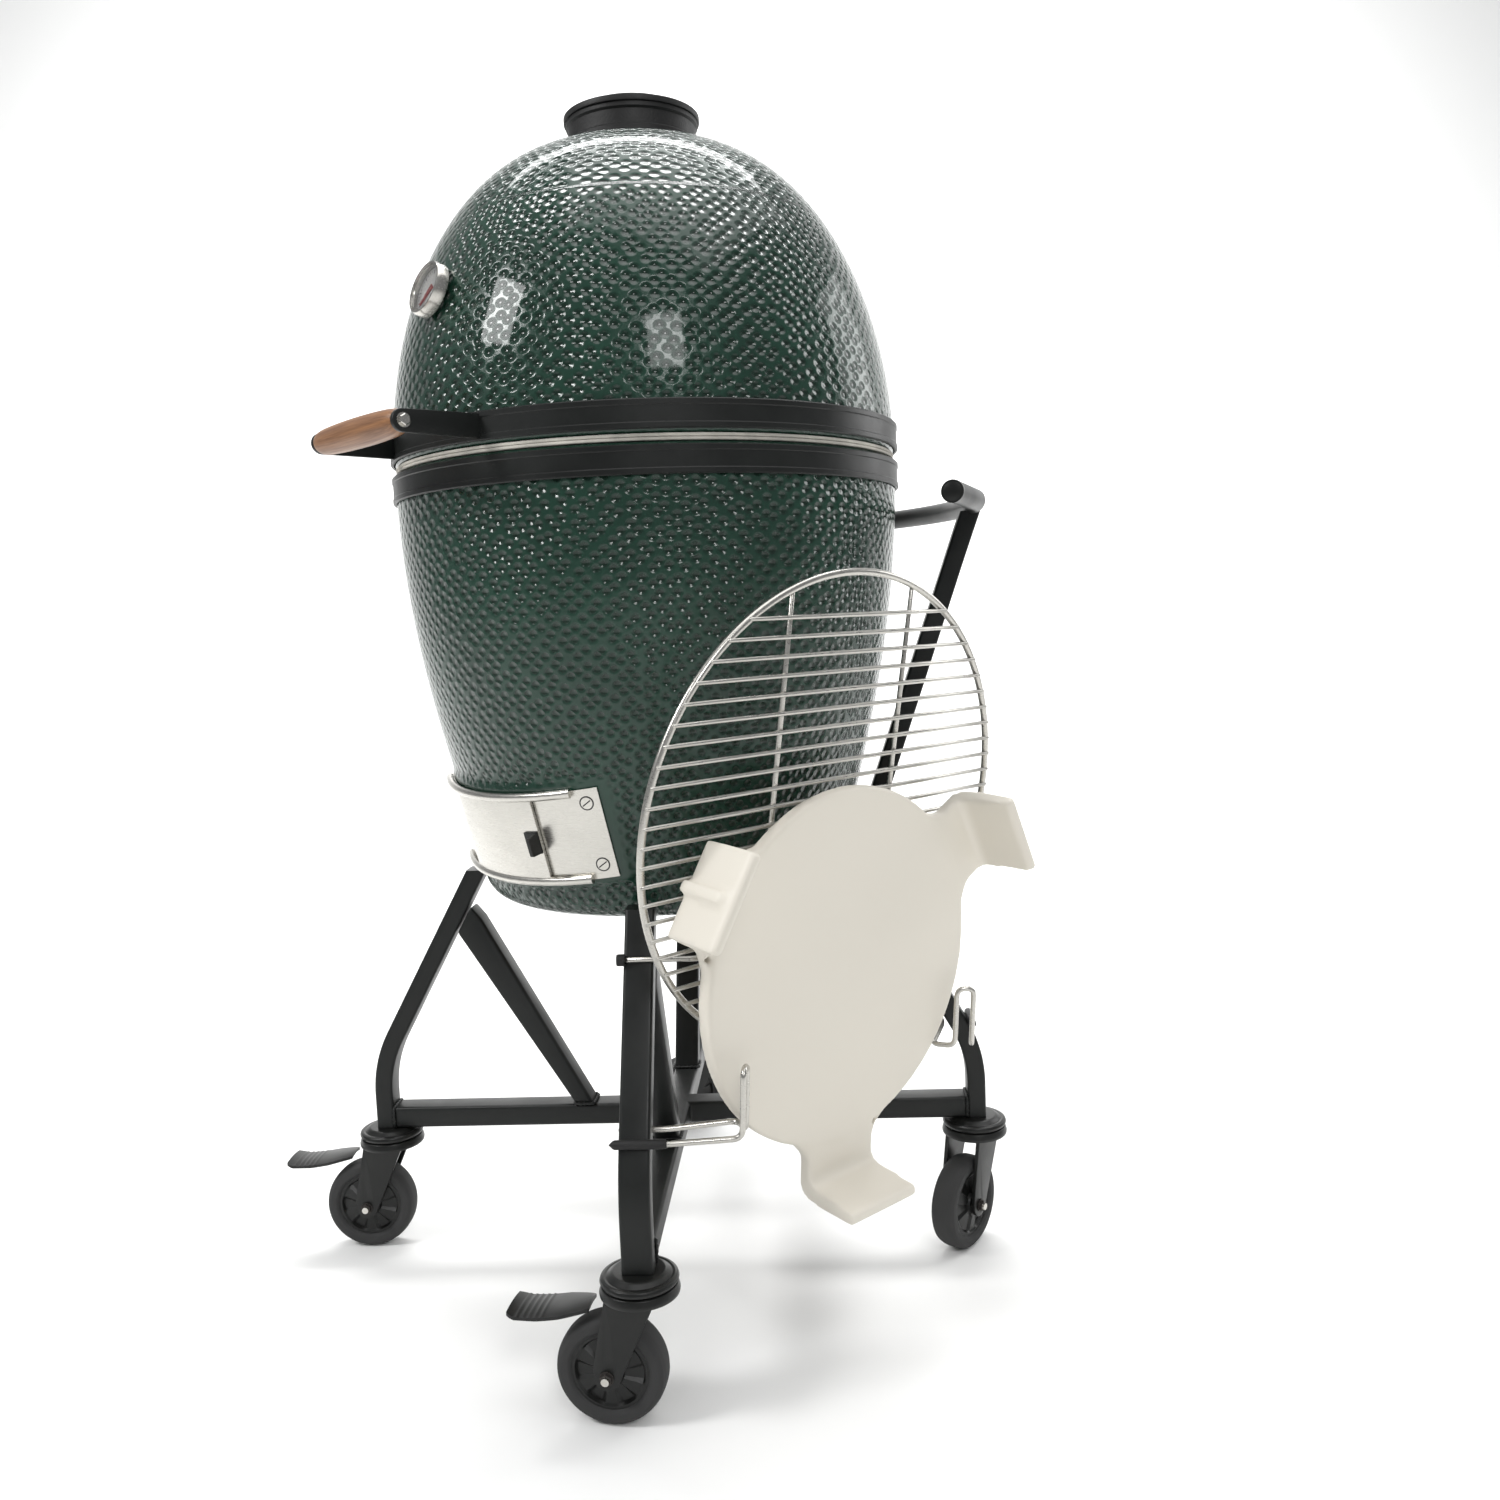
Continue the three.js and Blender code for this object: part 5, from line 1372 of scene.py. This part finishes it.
        first, last = grip(126, 1), grip(234, -1)
        path = np.vstack([first, first + (middle_part[0] - first) * 0.5, middle_part,
                          last + (middle_part[-1] - last) * 0.5, last])
        bar = tube("push_bar", path, circle(radius * 0.985, 28))
        dress(bar, "black_powder_coat", "nest", "powder_coat", "push_handle")
        for side, tip, inward in (("right", first, middle_part[0]), ("left", last, middle_part[-1])):
            along = Vector(tip - inward).normalized()
            place = facing(along, Vector(tip) - along * 0.0045)
            cap = revolve(f"handle_plug_{side}", [(0, 0), (radius * 0.99, 0), (radius * 0.99, 0.0035),
                                                  (radius * 0.8, 0.0046), (0, 0.0048)], 28, place=place)
            dress(cap, "hub_nylon", "nest", "nylon")


# ---- hooks --------------------------------------------------------------------------------------


class KAMADO_OT_hooks(bpy.types.Operator):
    """Adds the wire hooks that hold the spare grid and the deflector"""

    bl_idname = "kamado.hooks"
    bl_label = "Hooks"

    def execute(self, context):
        size = context.scene.kamado_sizes
        wire = size.hook_wire
        for end, sign in (("front", 1), ("rear", -1)):
            self.plate_hook(end, sign, wire)
            self.grid_hook(end, sign, wire)
        return {"FINISHED"}

    def place(self, r, t, z):
        """A point on the front right leg's plane: radius, sideways offset and height."""
        s = math.sqrt(0.5)
        return np.array([s * (r + t), s * (t - r), z])

    def tail(self, points):
        """A hook's tail end at that leg: how far out each of its points is, and where it starts sideways."""
        s = math.sqrt(0.5)
        sideways = points[:, :2] @ np.array([s, s])
        start = float(sideways.min())
        return points[sideways < start + 0.002][:, :2] @ np.array([s, -s]), start

    def mirrored(self, points, sign):
        return [np.array([p[0], p[1] * sign, p[2]]) for p in points]

    def plate_hook(self, end, sign, wire):
        node = f"plate_hook_{end}"
        low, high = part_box(node)
        high_y = high.y if sign > 0 else -low.y
        z = low.z + wire
        top = high.z - wire
        points = points_of(node) * (1, sign, 1)
        radial, start = self.tail(points)
        outer, inner = radial.max() - wire, radial.min() + wire
        finger = points[points[:, 2] > z + 0.030]
        far = finger[finger[:, 1] < finger[:, 1].mean()]
        near = finger[finger[:, 1] > finger[:, 1].mean()]
        far_x, far_y = float(far[:, 0].max()) - wire, float(far[:, 1].min()) + wire
        near_x, near_y = float(near[:, 0].mean()), float(near[:, 1].max()) - wire
        lean = 0.005
        rest_y = high_y - wire
        rest_x = float(points[points[:, 1] > high_y - 0.003][:, 0].mean())
        route = [self.place(outer, start, z), self.place(outer, 0.028, z), (far_x - lean, far_y, z),
                 (far_x, far_y, top), (near_x, near_y, top), (near_x - lean, near_y, z + 0.0004),
                 (rest_x, rest_y, z), self.place(inner, 0.0224, z), self.place(inner, start, z)]
        route = self.mirrored(route, sign)
        made = wires(f"{node}_wire", [(eased(route, 0.009, 8), wire, 14)])
        dress(made, "drawn_wire", "nest", "stainless", node)
        a, b = route[0], route[1]
        along = (b - a) / np.linalg.norm(b - a)
        s = np.array([-0.0035, 0.0, 0.002, 0.030, 0.046, 0.0475])
        grow = np.array([0.0002, 0.0034, 0.0042, 0.0044, 0.0040, 0.0030])
        profile = np.vstack([np.stack([grow, s], axis=1),
                             [(wire * 1.02, s[-1]), (wire * 1.02, 0.001), (0.0, 0.0005)]])
        sleeve = revolve(f"hook_sleeve_{end}", np.vstack([[(0.0, -0.0036)], profile]), 24,
                         place=facing(along, a))
        dress(sleeve, "sleeve_rubber", "nest", "nylon")

    def grid_hook(self, end, sign, wire):
        node = f"grid_hook_{end}"
        points = points_of(node) * (1, sign, 1)
        z = float(points[:, 2].max()) - wire
        shadow_ring = float(points[:, 2].min()) + wire
        radial, start = self.tail(points)
        outer = float(radial.mean())
        offset = float(points[:, 1].max()) - wire
        ring_x = float(points[:, 0].max()) - wire - 0.014
        ring_z = shadow_ring + 0.0035 + wire + 0.0003
        route = [self.place(outer, start, z), self.place(outer, 0.056, z),
                 (ring_x - 0.009, offset - 0.026, z),
                 (ring_x - 0.009, offset, shadow_ring), (ring_x + 0.011, offset, shadow_ring),
                 (ring_x + 0.014, offset, ring_z + 0.014)]
        route = self.mirrored(route, sign)
        made = wires(f"{node}_wire", [(eased(route, 0.009, 8), wire, 14)])
        dress(made, "drawn_wire", "nest", "stainless", node)
        place = facing(Vector(route[1] - route[0]).normalized(), route[0])
        clip = revolve(f"hook_clip_{end}", [(0, -0.0006), (0.0052, -0.0006), (0.0056, 0.001), (0.0056, 0.006),
                                            (0.005, 0.0072), (0, 0.0072)], 20, place=place)
        dress(clip, "sleeve_rubber", "nest", "nylon")


# ---- casters ------------------------------------------------------------------------------------


class KAMADO_OT_casters(bpy.types.Operator):
    """Adds the four swivel casters with their forks, wheels, axles and brake pedals"""

    bl_idname = "kamado.casters"
    bl_label = "Casters"

    def execute(self, context):
        for corner in CORNERS:
            swivel, spin = joint(f"swivel_{corner}"), joint(f"spin_{corner}")
            stem, hub = Vector(swivel["pos_m"]), Vector(spin["pos_m"])
            trail = (hub - stem).to_2d().to_3d().normalized()
            turned = Matrix((trail, Vector((0, 0, 1)).cross(trail), (0, 0, 1))).transposed().to_4x4()
            turned.translation = Vector((stem.x, stem.y, 0))
            self.head(corner, turned)
            self.fork(corner, turned)
            self.wheel(corner, hub, Vector(spin["axis"]))
            self.axle(corner, hub, Vector(spin["axis"]))
            if corner.startswith("front"):
                self.pedal(corner, turned)
        return {"FINISHED"}

    def head(self, corner, turned):
        node = f"caster_head_{corner}"
        low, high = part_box(node)
        radius = (high.x - low.x) / 2
        profile = [(0, low.z), (radius - 0.004, low.z), (radius - 0.001, low.z + 0.0015),
                   (radius, low.z + 0.004),
                   (radius - 0.001, low.z + 0.0066), (radius - 0.004, low.z + 0.0075),
                   (radius - 0.006, low.z + 0.0072),
                   (radius - 0.010, high.z - 0.0008), (radius - 0.012, high.z), (0, high.z)]
        made = revolve(f"{node}_race", profile, 64, bend=0.0006, place=turned)
        dress(made, "hub_nylon", "nest", "nylon", node)
        stud = revolve(f"caster_stud_{corner}",
                       [(0, high.z - 0.0004), (0.0085, high.z - 0.0004), (0.0085, high.z - 0.0001),
                                                 (0, high.z - 0.0001)], 24, place=turned)
        dress(stud, "turned_steel", "nest", "stainless")

    def fork(self, corner, turned):
        node = f"caster_fork_{corner}"
        dress_solid(node, 0.0011, "hub_nylon", f"caster_{corner}", "nylon")
        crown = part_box(node)[1].z
        skirt = revolve(f"fork_skirt_{corner}",
                        [(0.012, crown - 0.006), (0.0325, crown - 0.006), (0.0352, crown - 0.009),
                                                 (0.0358, crown - 0.006), (0.0340, crown - 0.0002),
                                                 (0.012, crown - 0.0002)],
                        64, bend=0.0008, place=turned)
        dress(skirt, "hub_nylon", f"caster_{corner}", "nylon")

    def wheel(self, corner, hub, axis):
        """A tyre turned from its outline, and a hub whose web is dished and swells into faint spokes."""
        node = f"caster_wheel_{corner}"
        radius, half, bore = WHEEL_RADIUS, WHEEL_HALF, WHEEL_BORE
        tyre = [(radius * 0.70, -half + 0.0035), (radius * 0.76, -half + 0.0008),
                (radius * 0.9, -half + 0.0005),
                (radius * 0.965, -half + 0.003), (radius * 0.995, -half + 0.008), (radius, -0.002),
                (radius, 0.002),
                (radius * 0.995, half - 0.008), (radius * 0.965, half - 0.003), (radius * 0.9, half - 0.0005),
                (radius * 0.76, half - 0.0008), (radius * 0.70, half - 0.0035)]
        place = facing(axis, hub)
        made = revolve(f"wheel_tyre_{corner}", tyre, 96, bend=0.0012, place=place)
        dress(made, "tread_rubber", f"wheel_{corner}", "tread_rubber", node)
        rim = radius * 0.705
        turn = np.arange(96) * 2 * math.pi / 96
        rings = [(bore, -half), (0.0125, -half), (0.0135, -half + 0.003), (rim - 0.005, -half + 0.0055),
                 (rim - 0.003, -half + 0.0032), (rim, -half + 0.0036), (rim, half - 0.0036),
                 (rim - 0.003, half - 0.0032),
                 (rim - 0.005, half - 0.0055), (0.0135, half - 0.003), (0.0125, half), (bore, half)]
        r, z = np.array(rings).T
        dish = np.zeros((len(rings), 96))
        spoke = np.clip(np.cos(turn * WHEEL_SPOKES) * 3, -1, 1) * 0.0011
        dish[2:4], dish[8:10] = spoke, -spoke
        verts = np.stack([r[:, None] * np.cos(turn), r[:, None] * np.sin(turn), z[:, None] + dish],
                         axis=-1).reshape(-1, 3)
        centre = add_mesh(f"wheel_hub_{corner}", verts, grid_faces(len(rings), 96, True, True))
        centre.data.transform(place)
        dress(settle(centre, 32.0), "hub_nylon", f"wheel_{corner}", "nylon")

    def axle(self, corner, hub, axis):
        node = f"caster_axle_{corner}"
        half = 0.0255
        place = facing(axis, hub)
        shaft = revolve(f"axle_shaft_{corner}",
                        [(0, -half - 0.002), (0.0036, -half - 0.002), (0.004, -half), (0.004, half),
                                                 (0.0036, half + 0.002), (0, half + 0.002)], 24, place=place)
        dress(shaft, "turned_steel", f"caster_{corner}", "stainless", node)
        for label, sign in (("a", -1), ("b", 1)):
            shadow_ring = hub + axis * sign * 0.0211
            nut = hex_bolt(f"axle_nut_{corner}_{label}", shadow_ring, axis * sign, 0.0052, 0.0045)
            dress(nut, "raw_cast_iron", f"caster_{corner}", "stainless")

    def pedal(self, corner, turned):
        """A pressed tread plate that dips from the crown, curls up at its toe and carries grip ridges."""
        node = f"brake_pedal_{corner}"
        points = seen_from(turned, points_of(node))
        start, end = float(points[:, 0].min()), float(points[:, 0].max())
        low, high = float(points[:, 2].min()), float(points[:, 2].max())
        half = float(np.abs(points[:, 1]).max())
        s, t = np.linspace(0, 1, 60), np.linspace(-1, 1, 30)
        width = half * (0.62 + 0.38 * np.clip(s / 0.35, 0,
                                              1) ** 0.7 - 0.12 * np.clip((s - 0.9) / 0.1, 0, 1) ** 2)
        x = start + (end - start) * s
        drop = high - 0.0026 - (high - low - 0.006) * np.sin(np.clip(s * 1.15, 0, 1) * math.pi / 2) ** 1.2
        toe = 0.0034 * np.clip((s - 0.8) / 0.2, 0, 1) ** 2
        ridges = 0.0006 * np.clip(np.sin(s * 2 * math.pi * 13), 0, 1) * ((s > 0.5) & (s < 0.9))
        crowned = 0.0016 * (1 - t ** 2)
        top = (drop + toe + ridges)[:, None] + crowned[None, :] - 0.001
        y = width[:, None] * t[None, :]
        grid_x = np.broadcast_to(x[:, None], y.shape)
        upper = np.stack([grid_x, y, top], axis=-1)
        lower = np.stack([grid_x, y, np.maximum(top - 0.0032 - ridges[:, None], low)], axis=-1)
        count = y.size
        faces = grid_faces(60, 30).tolist()
        faces += [[i + count for i in face] for face in grid_faces(60, 30).tolist()]
        border = np.concatenate([np.arange(30), 30 * np.arange(1, 60) + 29, 59 * 30 + np.arange(28, -1, -1),
                                 30 * np.arange(58, 0, -1)])
        following = np.roll(border, -1)
        faces += np.stack([border, following, following + count, border + count], axis=1).tolist()
        made = add_mesh(f"{node}_tread", np.vstack([upper.reshape(-1, 3), lower.reshape(-1, 3)]), faces)
        made.data.transform(turned)
        dress(settle(made, 45.0), "hub_nylon", f"pedal_{corner}", "nylon", node)


# ---- stage --------------------------------------------------------------------------------------


class KAMADO_OT_stage(bpy.types.Operator):
    """Adds the pale floor, the soft lights and the camera"""

    bl_idname = "kamado.stage"
    bl_label = "Stage"

    def execute(self, context):
        self.floor(context)
        self.lights(context)
        self.camera(context)
        return {"FINISHED"}

    def floor(self, context):
        """A sheet that runs flat under the grill and curves up behind it: height grows with distance back."""
        s = np.linspace(-4.0, 7.5, 80)
        rise = np.where(s > 3.0, (s - 3.0) ** 2 * 0.45, 0.0)
        across = np.linspace(-9, 9, 24)
        away = np.array([-0.745, 0.667])
        side = np.array([0.667, 0.745])
        x = s[:, None] * away[0] + across[None, :] * side[0]
        y = s[:, None] * away[1] + across[None, :] * side[1]
        verts = np.stack([x, y, np.broadcast_to(rise[:, None] - 0.0004, x.shape)], axis=-1).reshape(-1, 3)
        sheet = add_mesh("studio_floor", verts, grid_faces(80, 24))
        sheet.data.shade_smooth()
        tones = context.scene.kamado_finishes
        f = Finish("studio_paper", Roughness=0.9)
        f.set(Base_Color=f.group("mottle", Tone_A=rgba(tones.stage), Tone_B=rgba(tones.stage, 1.01),
                                 Scale=0.5)["Color"])
        sheet.data.materials.append(f.material)

    def area(self, name, place, target, width, height, power, color=(1, 1, 1)):
        light = bpy.data.lights.new(name, "AREA")
        light.shape, light.size, light.size_y = "RECTANGLE", width, height
        light.energy, light.color = power, color
        made = bpy.data.objects.new(name, light)
        made.location = place
        made.rotation_euler = (Vector(target) - Vector(place)).to_track_quat("-Z", "Y").to_euler()
        bpy.context.scene.collection.objects.link(made)

    def lights(self, context):
        world = bpy.data.worlds.new("studio_air")
        world.use_nodes = True
        world.node_tree.nodes["Background"].inputs["Color"].default_value = (0.95, 0.97, 1.0, 1)
        world.node_tree.nodes["Background"].inputs["Strength"].default_value = 0.30
        context.scene.world = world
        aim = (0, 0, 0.6)
        self.area("key_window", (-0.9, -2.8, 2.9), aim, 0.9, 0.9, 70)
        self.area("right_fill", (2.9, -1.5, 2.7), aim, 0.9, 0.9, 38)
        self.area("high_soft", (0.4, 0.3, 3.8), aim, 3.2, 3.2, 70)
        self.area("back_edge", (0.9, 3.0, 1.9), aim, 1.4, 1.6, 30)
        self.area("backdrop_wash", (-1.6, 1.4, 4.6), (-4.2, 3.8, 0.6), 4.0, 2.0, 420)

    def camera(self, context):
        """The eye is at the front right, a little over half way up, tipped down and rolled slightly."""
        data = bpy.data.cameras.new("studio_camera")
        data.lens, data.sensor_width, data.clip_end = 30.6, 36.0, 60.0
        eye = Vector((1.0994, -0.8544, 0.7072))
        heading = Vector((-0.7450, 0.6670, 0)).normalized()
        pitch, roll = math.radians(6.2), math.radians(-2.31)
        forward = heading * math.cos(pitch) - Vector((0, 0, math.sin(pitch)))
        level = heading.cross(Vector((0, 0, 1))).normalized()
        up = level.cross(forward)
        right = level * math.cos(roll) + up * math.sin(roll)
        up = right.cross(forward)
        made = bpy.data.objects.new("studio_camera", data)
        made.matrix_world = Matrix.Translation(eye) @ Matrix((right, up, -forward)).transposed().to_4x4()
        context.scene.collection.objects.link(made)
        context.scene.camera = made
        context.scene.view_settings.view_transform = "Standard"


# ---- panel and registration ---------------------------------------------------------------------

OPERATORS = [KAMADO_OT_ceramic, KAMADO_OT_rim, KAMADO_OT_lid_fittings, KAMADO_OT_draft_door, KAMADO_OT_grids,
             KAMADO_OT_deflector, KAMADO_OT_nest, KAMADO_OT_hooks, KAMADO_OT_casters, KAMADO_OT_stage]


class KAMADO_PT_panel(bpy.types.Panel):
    """Sizes, finishes and the buttons that build each group of pieces"""

    bl_label = "Kamado Grill"
    bl_idname = "KAMADO_PT_panel"
    bl_space_type = "VIEW_3D"
    bl_region_type = "UI"
    bl_category = "Kamado"

    def draw(self, context):
        for holder in (context.scene.kamado_sizes, context.scene.kamado_finishes):
            column = self.layout.column()
            for key in holder.__annotations__:
                column.prop(holder, key)
        for operator in OPERATORS:
            self.layout.operator(operator.bl_idname)


CLASSES = [KamadoSizes, KamadoFinishes, *OPERATORS, KAMADO_PT_panel]


def register():
    for cls in CLASSES:
        bpy.utils.register_class(cls)
    bpy.types.Scene.kamado_sizes = PointerProperty(type=KamadoSizes)
    bpy.types.Scene.kamado_finishes = PointerProperty(type=KamadoFinishes)


def unregister():
    del bpy.types.Scene.kamado_finishes
    del bpy.types.Scene.kamado_sizes
    for cls in reversed(CLASSES):
        bpy.utils.unregister_class(cls)


def main():
    register()
    make_materials(bpy.context.scene.kamado_finishes, bpy.context.scene.kamado_sizes)
    for operator in OPERATORS:
        group, name = operator.bl_idname.split(".")
        getattr(getattr(bpy.ops, group), name)()


if __name__ == "__main__":
    main()
